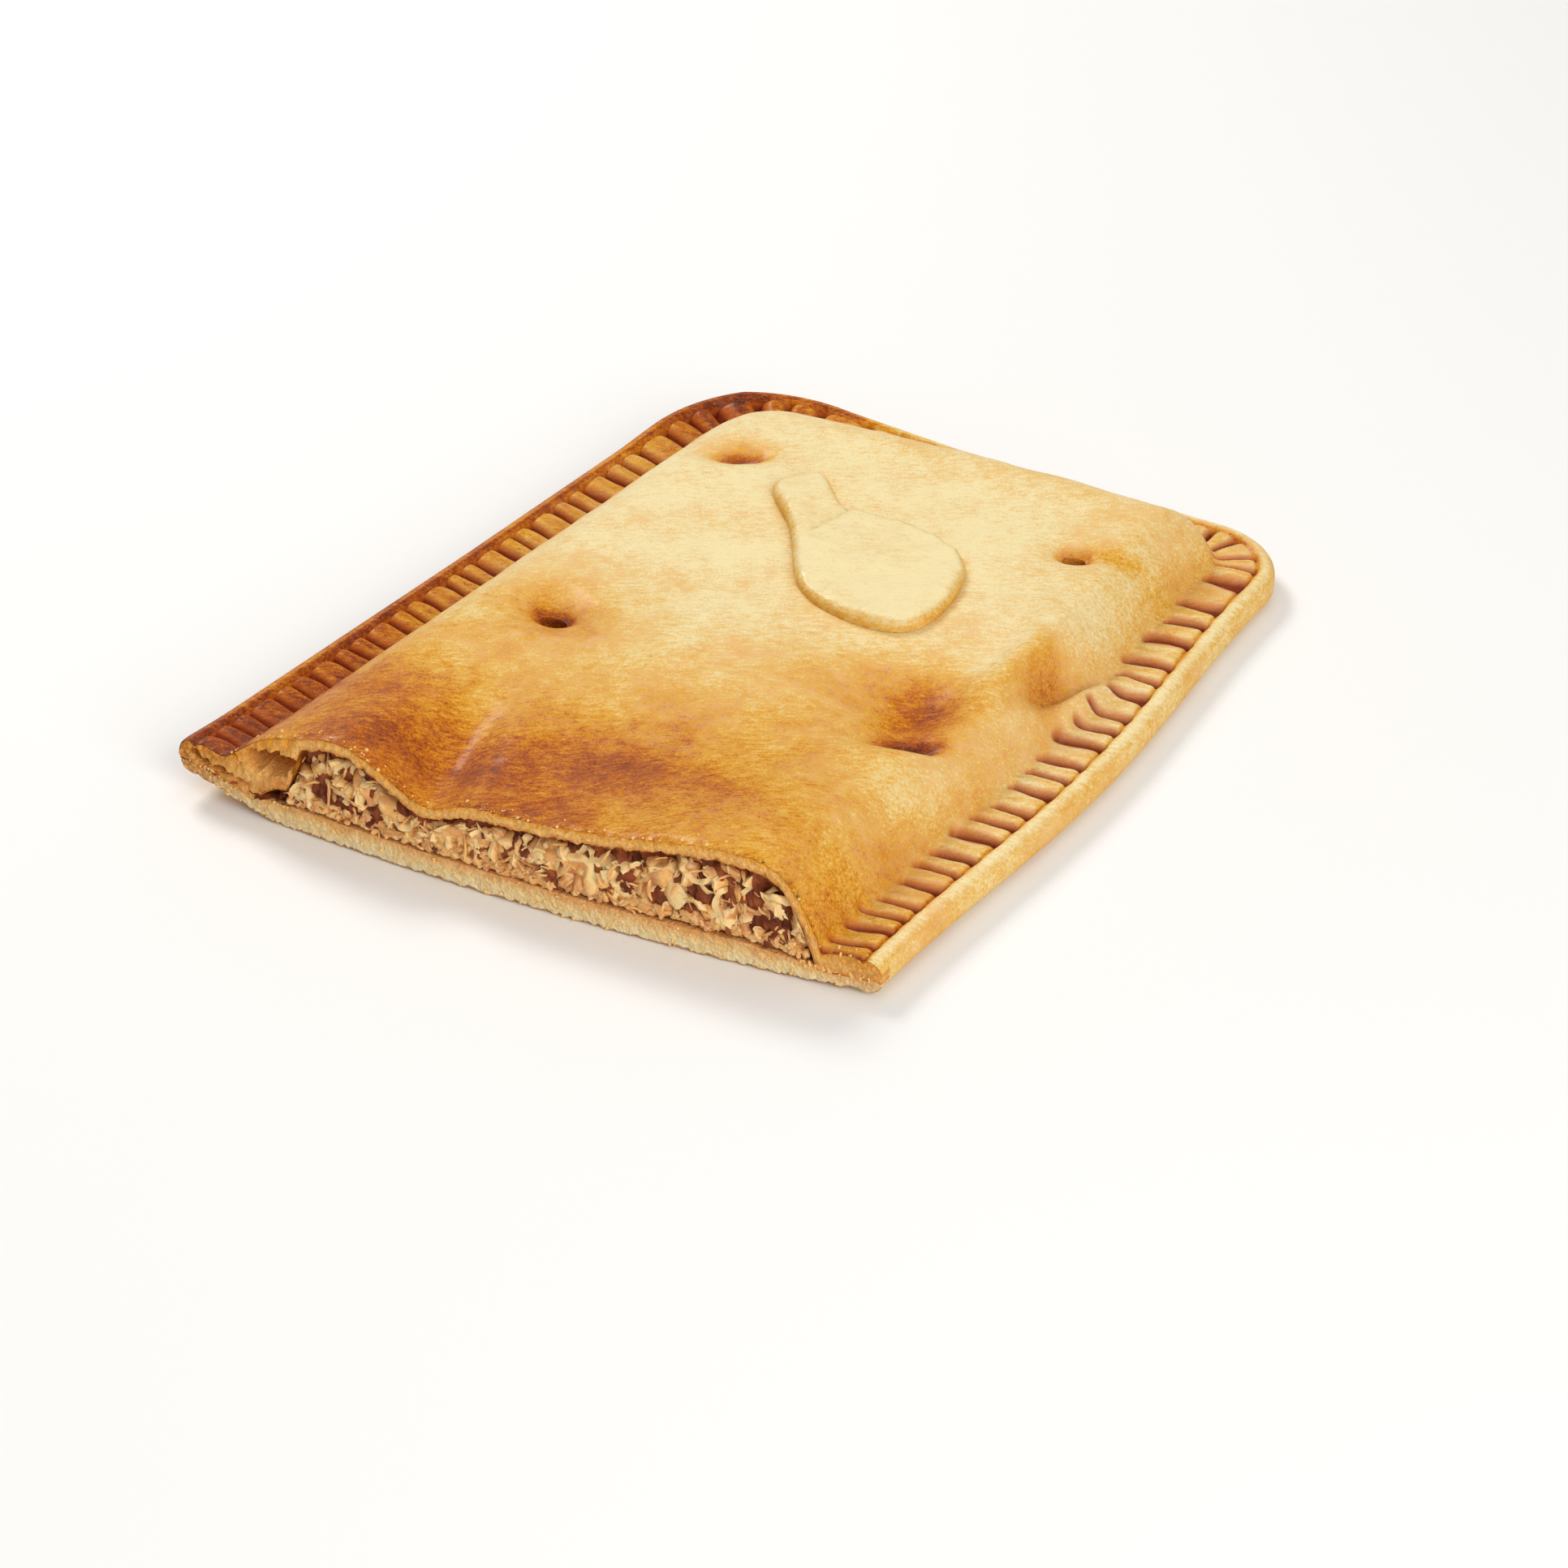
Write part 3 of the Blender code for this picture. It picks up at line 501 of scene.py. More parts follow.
def build(name, verts, faces, values=None, sharp=62):
    """A mesh object from arrays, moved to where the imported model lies."""
    placed = np.clip(verts + np.r_[shift, 0], cad_box[0], cad_box[1])
    mesh = bpy.data.meshes.new(name)
    mesh.from_pydata(placed.tolist(), [], faces.tolist())
    for key, numbers in (values or {}).items():
        made = mesh.attributes.new(key, "FLOAT", "POINT")
        made.data.foreach_set("value", np.asarray(numbers, dtype=np.float32))
    mesh.update()
    mesh.shade_smooth()
    mesh.set_sharp_from_angle(angle=math.radians(sharp))
    piece = bpy.data.objects.new(name, mesh)
    bpy.context.scene.collection.objects.link(piece)
    print(name, len(verts), "points,", len(faces), "triangles")
    return piece


# %% Plan points
def inside_pie(points, margin):
    return points[:, 1] > knife_line(points[:, 0]) + margin


def rim_rows(depths, spacing, margin):
    """Plan points along lines in from the rim."""
    along = np.arange(cut_start - 8 * MM, cut_end + 8 * MM, spacing)
    points = np.concatenate([on_line(along + (i % 2) * spacing / 2, d) for i, d in enumerate(depths)])
    return points[inside_pie(points, margin)]


def spread(spacing, inset, margin):
    """An even spread of plan points at least inset in from the rim."""
    rows = []
    for i, y in enumerate(np.arange(-101 * MM, 100 * MM, spacing * 0.866)):
        x = np.arange(-84 * MM, 86 * MM, spacing) + (i % 2) * spacing / 2
        rows.append(np.c_[x, np.full(len(x), y)])
    points = np.concatenate(rows)
    points = points[within(points, line) & inside_pie(points, margin)]
    depth, _ = depth_and_along(points)
    return points[depth > inset]


def outline(inset, set_back, spacing, cut_spacing, from_dome=False):
    """Closed outline: the rim line, or the foot of the dome, moved in, then back along the cut."""
    along = np.linspace(cut_start - 10 * MM, cut_end + 10 * MM, 6000)
    side = on_line(along, inset + from_dome * by_place(along, 7) * MM)
    side = side[inside_pie(side, set_back)]
    walked = np.r_[0, np.cumsum(np.linalg.norm(np.diff(side, axis=0), axis=1))]
    at = np.linspace(0, walked[-1], round(walked[-1] / spacing))
    side = np.c_[np.interp(at, walked, side[:, 0]), np.interp(at, walked, side[:, 1])]
    x = np.arange(side[-1][0] - cut_spacing, side[0][0] + cut_spacing / 2, -cut_spacing)
    return np.concatenate([side, np.c_[x, knife_line(x) + set_back]])


def slit_loop(x, y, turn, half_length, half_width, count=24):
    angles = np.arange(count) * 2 * np.pi / count
    across, along = half_width * np.cos(angles), half_length * np.sin(angles)
    cosine, sine = math.cos(math.radians(turn)), math.sin(math.radians(turn))
    return np.c_[x + across * cosine - along * sine, y + across * sine + along * cosine] * MM


def round_vents(grown):
    """Rings of plan points round every vent."""
    return np.concatenate([slit_loop(v[0], v[1], v[4], v[6] + g, v[7] + g, 28) for v in VENTS for g in grown])


# %% [markdown]
# The lid.
#
# The lid is the piece the eye lands on: a pale dome with amber patches, a bead round the edge and fingers
# of dough pressed between it and the dome. All of that is real relief here, with points half to three
# quarters of a millimetre apart on the rim. Only the skin of the crust, which is finer than that, is left
# to the material.

# %% Make the lid
lid_loops = [outline(0, 0, 0.8 * MM, 0.42 * MM)] + [slit_loop(v[0], v[1], v[4], v[6], v[7]) for v in VENTS]
rim_depths = np.r_[0.25, 0.6, 1.1, 1.7, 2.4, 3.1, np.arange(3.6, 16.2, 0.55)] * MM
lid_points = np.concatenate(
    [
        rim_rows(rim_depths, 0.75 * MM, 0.45 * MM),
        spread(1.35 * MM, 16.6 * MM, 0.7 * MM),
        round_vents((0.4, 0.9, 1.6, 2.4, 3.4)),
    ]
)
under_rim = rim_rows(np.array([5, 9, 12, 14]) * MM, 3 * MM, 2 * MM)
under_points = np.concatenate([under_rim, spread(3.5 * MM, 16 * MM, 2 * MM)])
lid = sheet("crimped_lid", lid_loops, lid_points, lid_top, under_points, lid_underside, rows=16, crumb=0.6)

# %% [markdown]
# The base.
#
# The base is a thicker sheet. It is seen only along its edge and at the cut, so its points are dense there
# and sparse in between, where the filling covers it.

# %% Make the base
base_loops = [outline(0.06 * MM, 0.12 * MM, 0.8 * MM, 0.45 * MM)]
lip_x = np.arange(-82 * MM, 80 * MM, 0.8 * MM)
lip = np.concatenate([np.c_[lip_x, knife_line(lip_x) + d * MM] for d in (0.6, 1.3, 2.4, 4)])
lip = lip[within(lip, line)]
edge_points = rim_rows(np.array([0.25, 0.6, 1.1, 1.7, 2.4, 3.4, 5, 8, 12, 17]) * MM, 2 * MM, 1 * MM)
base_rim = rim_rows(np.array([4, 10]) * MM, 5 * MM, 5 * MM)
base_points = np.concatenate([lip, base_rim, spread(6 * MM, 15 * MM, 6 * MM)])
low_points = np.concatenate([edge_points, lip[: 2 * len(lip_x)], spread(3 * MM, 20 * MM, 3 * MM)])
base = sheet(
    "bottom_crust", base_loops, base_points, base_top, low_points, base_underside, rows=10, crumb=0.45
)


# %% [markdown]
# The filling.
#
# Baked tuna filling is a packed mass of flakes. What shows at the cut is a dark, hollowed face with torn
# pieces standing out of it. The mass is one closed sheet between the base and the lid, with its cut face
# pushed in unevenly. The flakes are separate small meshes, joined into one piece for each kind.

# %% Make the mass of the filling
FILLING_INSET, FACE_SET_BACK = 1.4 * MM, 1.5 * MM


def filling_top(points):
    return np.maximum(lid_underside(points) - 0.4 * MM, base_top(points) + 0.6 * MM)


def filling_floor(points):
    return base_top(points) + 0.1 * MM


mass_loop = outline(FILLING_INSET, FACE_SET_BACK, 2.5 * MM, 0.6 * MM, True)
mass_points = np.concatenate([spread(4 * MM, 18.2 * MM, 4.5 * MM), round_vents((-0.7, 0.0, 2.0))])
floor_points = spread(8 * MM, 20 * MM, 8 * MM)
roughness = {"rows": 16, "crumb": 2.0, "lean": 1.0 * MM, "caves": 3.0 * MM}
mass = sheet("tuna_mass", [mass_loop], mass_points, filling_top, floor_points, filling_floor, **roughness)


# %% [markdown]
# The flakes.
#
# To the eye, a flake of baked tuna is one of three things: a solid chunk with fibres along it, a thick
# flake that rolled up on itself, or a thin torn petal. Modelled by hand they would take days and still look
# alike. So each kind is a short function that draws a new flake from a random source. Each point also keeps
# a number that is high where tuna frays, at a torn edge or along a fibre, and the material makes it pale
# there, partly as a painted highlight.

# %% Shapes of one flake
def two_skins(top, low, steps, across):
    """A thin flake from its two faces: points and triangles."""
    count = steps * across
    index = np.arange(count).reshape(steps, across)
    a, b = index[:-1, :-1].ravel(), index[1:, :-1].ravel()
    c, d = index[1:, 1:].ravel(), index[:-1, 1:].ravel()
    upper = np.concatenate([np.c_[a, b, c], np.c_[a, c, d]])
    border = np.r_[index[:, 0], index[-1, 1:], index[-2::-1, -1], index[0, -2:0:-1]]
    after = np.roll(border, -1)
    rim = np.concatenate([np.c_[border, border + count, after], np.c_[after, border + count, after + count]])
    return np.r_[top, low], np.concatenate([upper, upper[:, ::-1] + count, rim])


def noise_over(u, v, scale_u, scale_v, seed):
    places = np.c_[u.ravel() * scale_u, v.ravel() * scale_v, np.full(u.size, seed)]
    return noise_at(places).reshape(u.shape)


def petal(draw, length, width):
    """A torn, bent flake, and how near its edge each point is."""
    steps, across, seed = 12, 8, draw.uniform(0, 90)
    u, v = np.meshgrid(np.linspace(-1, 1, steps), np.linspace(-1, 1, across), indexing="ij")
    ragged = noise_over(u, v, 2.2, 2.2, seed)
    shape = np.sqrt(np.clip(1.04 - np.abs(u) ** 2.6, 0.02, 1)) * (1 + 0.5 * ragged)
    x, y = u * (1 + 0.25 * ragged) * length / 2, v * shape * width / 2
    bend_u, bend_v, twist = draw.uniform(-0.5, 1.0), draw.uniform(0.3, 1.3), draw.uniform(-0.6, 0.6)
    z = bend_u * u**2 * length / 4 + bend_v * v**2 * width / 2 + twist * u * v * width / 2
    z = z + 0.14 * width * noise_over(u, v, 1.3, 7, seed + 5) + 0.3 * width * ragged
    edge = np.maximum(np.abs(u), np.abs(v)).ravel()
    thick = (0.2 + 0.35 * (1 - edge)) * MM + 0.06 * width
    middle = np.c_[x.ravel(), y.ravel(), z.ravel()]
    up = np.array([0, 0, 1]) * thick[:, None]
    return *two_skins(middle + up, middle - up, steps, across), np.r_[edge, edge]


def curled(draw, length, width):
    """A thick flake rolled up like a shell and seen from its end."""
    steps, across, seed = 18, 7, draw.uniform(0, 90)
    u, v = np.meshgrid(np.linspace(-1, 1, steps), np.linspace(-1, 1, across), indexing="ij")
    ragged = noise_over(u, v, 2.6, 1.6, seed)
    angle = u * draw.uniform(1.2, 2.3)
    radius = length * 0.42 * (1 + 0.3 * ragged + 0.12 * v * draw.uniform(-1, 1) + 0.1 * u)
    x, z = radius * np.sin(angle), radius * np.cos(angle) * draw.uniform(0.65, 1)
    y = v * (1 + 0.7 * noise_over(u, v * 0, 2.4, 1, seed + 3)) * width / 2
    edge = np.maximum(np.abs(u) ** 3, np.clip(-v, 0, 1)).ravel()
    thick = ((0.5 - 0.25 * edge) * MM + 0.03 * length) * (1 + 0.5 * noise_over(u, v, 5, 3, seed + 7).ravel())
    out = np.c_[np.sin(angle).ravel(), np.zeros(u.size), np.cos(angle).ravel()] * thick[:, None]
    middle = np.c_[x.ravel(), y.ravel(), z.ravel()]
    return *two_skins(middle + out, middle - out, steps, across), np.r_[edge, edge]


def chunk(draw, length, width):
    """A solid piece with fibres along it."""
    rings, sides, seed = 13, 16, draw.uniform(0, 90)
    bend = draw.uniform(-0.2, 0.2)
    t, turn = np.meshgrid(np.linspace(-1, 1, rings), np.arange(sides) * 2 * np.pi / sides, indexing="ij")
    t, side_y, side_z = t.ravel(), np.cos(turn.ravel()), np.sin(turn.ravel())
    lumps = noise_at(np.c_[t * 2.0, side_y * 1.5, side_z * 1.5 + seed])
    fibres = noise_at(np.c_[t * 1.6, side_y * 4.5, side_z * 4.5 + seed])
    bump = 1 + 0.5 * lumps + 0.3 * fibres
    radius = np.sqrt(np.maximum(0.03, 1 - np.abs(t) ** 2.5)) * bump * width / 2
    x = t * length / 2 * (1 + 0.2 * lumps)
    verts = np.c_[x, radius * side_y + bend * t**2 * length, radius * side_z * 0.8]
    first, after = np.arange(sides), (np.arange(sides) + 1) % sides
    faces = []
    for ring in range(rings - 1):
        a, b = first + ring * sides, after + ring * sides
        faces += [np.c_[a, b, b + sides], np.c_[a, b + sides, a + sides]]
    fan = np.arange(1, sides - 1)
    last = (rings - 1) * sides
    faces += [np.c_[fan * 0, fan + 1, fan], np.c_[fan * 0 + last, fan + last, fan + 1 + last]]
    return verts, np.concatenate(faces), np.clip(0.45 + 0.9 * fibres + 0.4 * np.abs(t) ** 3, 0, 1)


def turned(draw, verts, tilt):
    """verts turned about Y at random, then tipped a little."""
    tip_z, tip_x = [Matrix.Rotation(draw.uniform(-tilt, tilt), 3, axis) for axis in "ZX"]
    turn = tip_z @ tip_x @ Matrix.Rotation(draw.uniform(0, 2 * math.pi), 3, "Y")
    return verts @ np.array(turn).T


# %% [markdown]
# Where the flakes lie.
#
# A particle system would scatter copies, and copies show. Here every flake is made afresh, turned at
# random, shrunk to the room between the base and the lid where it lies, and kept between the two. The
# random source starts from a set number, so the pie comes out the same each time.

# %% Scatter the flakes over the cut face
face_x = np.linspace(-60, 68, 257) * MM
face_plan = np.c_[face_x, knife_line(face_x) + 1.5 * MM]
face_low, face_high = filling_floor(face_plan) - 0.2 * MM, filling_top(face_plan) + 0.2 * MM


def scatter(name, make, count, lengths, ratio, depth, tilt, seed, highest=1.0):
    """Flakes of one kind, joined. Each one is fitted between the base and the lid where it lies."""
    draw = random.Random(seed)
    all_verts, all_faces, edges, tints, total = [], [], [], [], 0
    left, right = -55 * MM, 60.5 * MM
    for i in range(count):
        x = left + (right - left) * (i + draw.random()) / count
        low, high = np.interp(x, face_x, face_low), np.interp(x, face_x, face_high)
        room = high - low
        length = min(draw.uniform(*lengths) * MM, room * 1.05)
        if room < 2.5 * MM:
            continue
        verts, faces, edge = make(draw, length, length * draw.uniform(*ratio))
        verts = turned(draw, verts, tilt)
        height = verts[:, 2].max() - verts[:, 2].min()
        if height > room:
            verts *= room / height
        rise = low - verts[:, 2].min() + (room - min(height, room)) * highest * draw.random()
        verts = verts + np.array([x, 0, rise])
        floor, roof = [np.interp(verts[:, 0], face_x, heights) for heights in (face_low, face_high)]
        verts[:, 2] = np.clip(verts[:, 2], floor, roof)
        verts[:, 1] += knife_line(x) + draw.uniform(*depth) * MM - verts[:, 1].min()
        all_verts.append(verts)
        all_faces.append(faces + total)
        edges.append(edge)
        tints.append(np.full(len(verts), draw.random()))
        total += len(verts)
    values = {"edge": np.concatenate(edges), "tint": np.concatenate(tints)}
    return build(name, np.concatenate(all_verts), np.concatenate(all_faces), values)


chunks = scatter("tuna_chunks", chunk, 84, (6, 11), (0.5, 0.8), (-0.1, 1.4), 0.8, 11)
curls = scatter("tuna_curls", curled, 50, (7, 11), (0.5, 0.9), (-0.5, 0.5), 0.6, 15)
petals = scatter("tuna_petals", petal, 34, (6, 10), (0.6, 1.0), (-0.4, 0.6), 1.2, 12)
shreds = scatter("tuna_shreds", chunk, 90, (2, 6), (0.1, 0.18), (-0.7, 0.2), 1.0, 14)
foot = scatter("tuna_foot", chunk, 170, (2.2, 5), (0.5, 0.8), (-0.3, 0.4), 1.2, 13, 0.08)

# %% [markdown]
# The dough fish.
#
# A flat fish is cut from spare dough and laid on the lid. It follows the lid beneath it, so its underside
# is the lid's top plus a hair, and its upper side swells quickly from the edge, as dough does when it is
# baked. The outline comes from widths along its length.

# %% Make the fish
FISH_MIDDLE, FISH_TURN, FISH_THICKNESS = np.array([-0.5, 30]) * MM, math.radians(-40), 2.7 * MM
FISH_WIDTHS = np.array(
    [
        (-22.8, 5.6, -4.4),
        (-19.5, 6.6, -6.6),
        (-12.0, 5.4, -7.6),
        (-6.0, 4.6, -8.2),
        (-2.4, 7.6, -9.0),
        (5.4, 14.4, -11.4),
        (13.0, 18.6, -14.2),
        (21.0, 20.6, -16.4),
        (29.0, 18.8, -16.0),
        (37.0, 13.0, -12.4),
        (43.0, 6.5, -7.0),
        (45.6, 1.6, -2.2),
    ]
)


def fish_outline(step):
    along, upper, lower = FISH_WIDTHS.T * MM
    corners = np.r_[np.c_[along, upper], np.c_[along, lower][::-1]]
    corners = np.r_[corners, corners[:1]]
    walked = np.r_[0, np.cumsum(np.linalg.norm(np.diff(corners, axis=0), axis=1))]
    at = np.linspace(0, walked[-1], round(walked[-1] / step), endpoint=False)
    loop = np.c_[np.interp(at, walked, corners[:, 0]), np.interp(at, walked, corners[:, 1])][::-1]
    for _ in range(6):
        loop = (np.roll(loop, 1, axis=0) + 2 * loop + np.roll(loop, -1, axis=0)) / 4
    cosine, sine = math.cos(FISH_TURN), math.sin(FISH_TURN)
    turn = np.array([[cosine, sine], [-sine, cosine]])
    return FISH_MIDDLE + loop @ turn


fish_loop = fish_outline(0.8 * MM)


def fish_bottom(points):
    return lid_top(points) + 0.1 * MM


def fish_top(points):
    from_edge = np.linalg.norm(points[:, None] - fish_loop[None], axis=2).min(1)
    swell = np.sqrt(np.clip(from_edge / (2.6 * MM), 0, 1) * (2 - np.clip(from_edge / (2.6 * MM), 0, 1)))
    cosine, sine = math.cos(FISH_TURN), math.sin(FISH_TURN)
    away = (points - FISH_MIDDLE) / MM
    along, across = away @ np.array([cosine, sine]), away @ np.array([-sine, cosine])
    crease = np.exp(-(((along + 3.5 + 0.55 * (across - 4)) / 0.9) ** 2)) * smooth((across + 9) / 4)
    flat = np.c_[points, np.zeros(len(points))]
    uneven = 0.5 * rough(flat, 7) + 0.3 * rough(flat, 2.6, 3.0)
    relief = (uneven * swell - 1.2 * crease * swell) * MM
    return fish_bottom(points) + FISH_THICKNESS * (0.38 + 0.62 * swell) + relief


inner = spread(1.0 * MM, 20 * MM, 0)
inner = inner[within(inner, fish_loop)]
inner = inner[np.linalg.norm(inner[:, None] - fish_loop[None], axis=2).min(1) > 0.4 * MM]
fish = sheet("dough_ornament", [fish_loop], inner, fish_top, inner[::4], fish_bottom, rows=3, crumb=0)

# %% [markdown]
# Crumbs.
#
# A knife through crisp dough leaves crumbs. They cling in small groups along the upper edge of the lid, lie
# all over the face of the base, and at the two ends they cover the seam, where lid and base baked into one.
# Each crumb is a lumpy double cone of ten triangles, which is enough for something about half a millimetre
# across.

# %% Loose crumbs along the cut
def loose_crumbs(name, count, place_one, seed):
    """Specks of dough, joined. place_one gives the middle of one from a random source."""
    draw = random.Random(seed)
    all_verts, all_faces, total = [], [], 0
    for _ in range(count):
        size = (0.25 + 0.75 * draw.random() ** 3) * MM
        turns = np.arange(5) * 2 * np.pi / 5 + draw.random()
        reach = np.array([[draw.uniform(0.6, 1.2)] for _ in range(5)])
        ring = np.c_[np.cos(turns), np.sin(turns), np.zeros(5)] * reach
        tips = [[draw.uniform(-0.3, 0.3), 0, 0.9], [0, draw.uniform(-0.3, 0.3), -0.9]]
        verts = np.r_[ring, tips] * size / 2
        verts = turned(draw, verts, 1.5) + place_one(draw)
        side, after = np.arange(5), (np.arange(5) + 1) % 5
        all_verts.append(verts)
        all_faces.append(np.r_[np.c_[side, after, side * 0 + 5], np.c_[after, side, side * 0 + 6]] + total)
        total += len(verts)
    return build(name, np.concatenate(all_verts), np.concatenate(all_faces), {"section": np.ones(total)}, 30)


def on_lid_edge(draw):
    x = (draw.choice((-62, -44, -30, -6, 4, 22, 38, 66)) + draw.gauss(0, 7)) * MM
    point = np.array([[x, knife_line(x) + 0.15 * MM + draw.random() ** 3 * 3 * MM]])
    return np.array([point[0, 0], point[0, 1], lid_top(point)[0] + 0.05 * MM])


def on_seam(draw):
    x = draw.choice((draw.uniform(-81, -56), draw.uniform(60, 75.5))) * MM
    point = np.array([[x, knife_line(x) + 0.1 * MM]])
    return np.array([x, point[0, 1], base_top(point)[0] - 0.4 * MM + draw.gauss(0, 0.5) * MM])


def on_base_front(draw):
    x = draw.uniform(-76, 74) * MM
    point = np.array([[x, knife_line(x) + 0.1 * MM]])
    low, high = base_underside(point)[0] + 0.4 * MM, base_top(point)[0]
    return np.array([x, point[0, 1] - draw.uniform(0, 0.4) * MM, low + (high - low) * draw.random() ** 2])


lid_crumbs = loose_crumbs("lid_crumbs", 150, on_lid_edge, 21)
base_crumbs = loose_crumbs("base_crumbs", 320, on_base_front, 22)
seam_crumbs = loose_crumbs("seam_crumbs", 240, on_seam, 23)

# %% [markdown]
# Browning, and painted light.
#
# Baked dough is not one colour. It is pale where the egg wash was thin, amber where it pooled, and dark
# where it ran into grooves and dips or where the edge stood nearest the heat. The script knows where those
# are, so it writes a number for each point, from 0 for pale to 1 for dark, and the material turns it into
# colour. On the lid, this number and the one for the grooves also carry painted light: painted shade in
# the grooves, in the crease behind the bead, in the dip round the right-hand vent near the cut, on the slope
# into the fold on the right and round the fish, and painted highlight on the crowns of the crimps, along the
# top of the bead and on the ridge of the fold. Patches are named by place and reach, as the hills were.

# %% Where the lid browned, and where shade and highlight are painted on it
# x, y, reach across, reach along, turn, amount
BROWNING = [
    (0, -98, 120, 66, 0, 0.56),
    (-38, -84, 40, 22, -8, 0.16),
    (12, -74, 34, 13, 8, 0.12),
    (34, -46, 26, 14, 16, 0.10),
    # These three brown the dip round the vent on the right near the cut: partly browning, partly painted
    # shade on its far wall and in its slit.
    (42, -18, 14, 14, 10, 0.20),
    (50, -22, 11, 14, 6, 0.46),
    (52, -35, 6, 3, 26, 0.32),
    (24, -22, 12, 12, 0, 0.12),
    (-60, -60, 22, 50, 0, 0.08),
    # Partly browning, partly painted shade on the slope down into the fold.
    (62.5, 3, 5, 12, -6, 0.46),
    # Painted highlight: the ridge of the fold is made paler.
    (69.5, 9, 1.6, 11, -8, -0.14),
    (60, 48, 18, 30, 0, 0.16),
    (55, 50, 9, 4, 28, 0.30),
    (-35.5, 54, 8, 5, 15, 0.42),
    (-58, 84, 16, 22, 30, 0.16),
    (10, 74, 50, 13, -6, 0.12),
    (74, 84, 16, 22, 0, 0.10),
    (-36, -26, 15, 12, 0, 0.30),
    (72, -64, 10, 34, 0, -0.16),
]


def lid_browning_and_painted_light(points):
    """Lid browning with painted shade and highlight, 0 to 1, and how deep in a groove each point lies."""
    depth, along = depth_and_along(points)
    pressed = groove(depth, along) * smooth((depth - CRIMP_START + 0.6 * MM) / MM)
    band = smooth((depth - 3 * MM) / (2 * MM)) * (1 - smooth((depth - 14 * MM) / (6 * MM)))
    bead = smooth((3.8 * MM - depth) / (0.8 * MM))
    left = smooth(-points[:, 0] / (40 * MM))
    far_left = np.exp(-oval(points, -56, 88, 34, 26))
    near_fish = np.linalg.norm(points[:, None] - fish_loop[None], axis=2).min(1)
    level = 0.05 + patches(points, BROWNING) * (1 - 0.45 * bead)
    # Painted shade: the lid is browned more in a thin band round the fish, where its contact shadow falls.
    level = level + 0.14 * np.exp(-((near_fish / (1.6 * MM)) ** 2))
    # The crimped band browns more towards the left; the crowns of the crimps are made paler, partly as
    # painted highlight.
    level = level + band * (0.19 + 0.27 * left + 0.2 * far_left) - 0.16 * crown(depth, along)
    level = level + bead * (0.5 * left + 0.1 * far_left + 0.02) - 0.3 * bead * patches(points, [BROWNING[0]])
    # The bead is browner along its outer and inner edges than along its top: partly browning, partly painted
    # highlight left pale along the top.
    outer, inner = (depth - 0.3 * MM) / (1.0 * MM), (depth - 3.4 * MM) / (0.5 * MM)
    level = level + 0.26 * np.exp(-(outer**2)) + 0.3 * np.exp(-(inner**2))
    # The crease behind the bead is darker, partly browning and partly painted shade; the edges of the vents
    # brown more.
    level = level + 0.3 * score_line(depth) + 0.3 * vent_lip(points)
    return np.clip(level, 0, 0.84), np.clip(pressed, 0, 1)


def write_values(piece, **values):
    for key, numbers in values.items():
        made = piece.data.attributes.new(key, "FLOAT", "POINT")
        made.data.foreach_set("value", np.asarray(numbers, dtype=np.float32))


def placed_points(piece):
    """A piece's points in the pie's own plan."""
    flat = np.empty(len(piece.data.vertices) * 3)
    piece.data.vertices.foreach_get("co", flat)
    return flat.reshape(-1, 3) - np.r_[shift, 0]


def toasted(places):
    """How browned the cut dough is, most at the thin left end."""
    left = smooth((-66 * MM - places[:, 0]) / (14 * MM))
    right = smooth((places[:, 0] - 62 * MM) / (12 * MM))
    return 0.8 * left + 0.4 * right


lid_places = placed_points(lid)
browned, in_groove = lid_browning_and_painted_light(lid_places[:, :2])
# The lid's browning number also carries its painted shade and highlight.
write_values(lid, browning=browned, groove=in_groove, toast=toasted(lid_places))
base_places = placed_points(base)
base_depth, _ = depth_and_along(base_places[:, :2])
base_section, base_down = (np.empty(len(base_places)) for _ in range(2))
base.data.attributes["section"].data.foreach_get("value", base_section)
base.data.attributes["down"].data.foreach_get("value", base_down)
soaked = np.where(base_down == 0, smooth((base_depth - 8 * MM) / (2 * MM)), base_section)
base.data.attributes["section"].data.foreach_set("value", soaked)
base_brown = 0.34 - 0.1 * smooth(base_depth / (4 * MM)) + 0.3 * smooth((base_depth - 3 * MM) / (9 * MM))
base_brown = base_brown + 0.3 * smooth(-base_places[:, 0] / (40 * MM)) * (1 - smooth(base_depth / (3.4 * MM)))
write_values(base, browning=base_brown, groove=np.zeros(len(base_places)), toast=toasted(base_places))
mass_places = placed_points(mass)
# Painted shade in the vent holes: the mass is darkened under and just round each vent.
juice = np.min([oval(mass_places[:, :2], v[0], v[1], v[7] + 1.5, v[6] + 1.5, v[4]) for v in VENTS], axis=0)
write_values(mass, juice=1 - smooth((juice - 0.6) / 0.8))
fish_places = placed_points(fish)
fish_edge = np.linalg.norm(fish_places[:, None, :2] - fish_loop[None], axis=2).min(1)
fish_brown = 0.02 + 0.34 * np.exp(-((fish_edge / (1.1 * MM)) ** 2))
write_values(fish, browning=fish_brown, groove=np.zeros(len(fish_places)))
print("mean browning of the lid", round(float(browned.mean()), 2))


# %% [markdown]
# Materials.
#
# The crusts and the fish are the same dough, so the skin that they share is one node group: a ramp from
# cream to dark brown read by the browning number, broken up by soft mottling, fine speckle and short brush
# streaks. Each material places the group with its own values and keeps its own shader.


# %% Tools for node trees
def srgb(red, green, blue):
    """A colour picked on the screen, as the linear numbers that shaders use."""
    shares = [value / 255 for value in (red, green, blue)]
    linear = [share / 12.92 if share <= 0.0405 else ((share + 0.055) / 1.055) ** 2.4 for share in shares]
    return (*linear, 1.0)


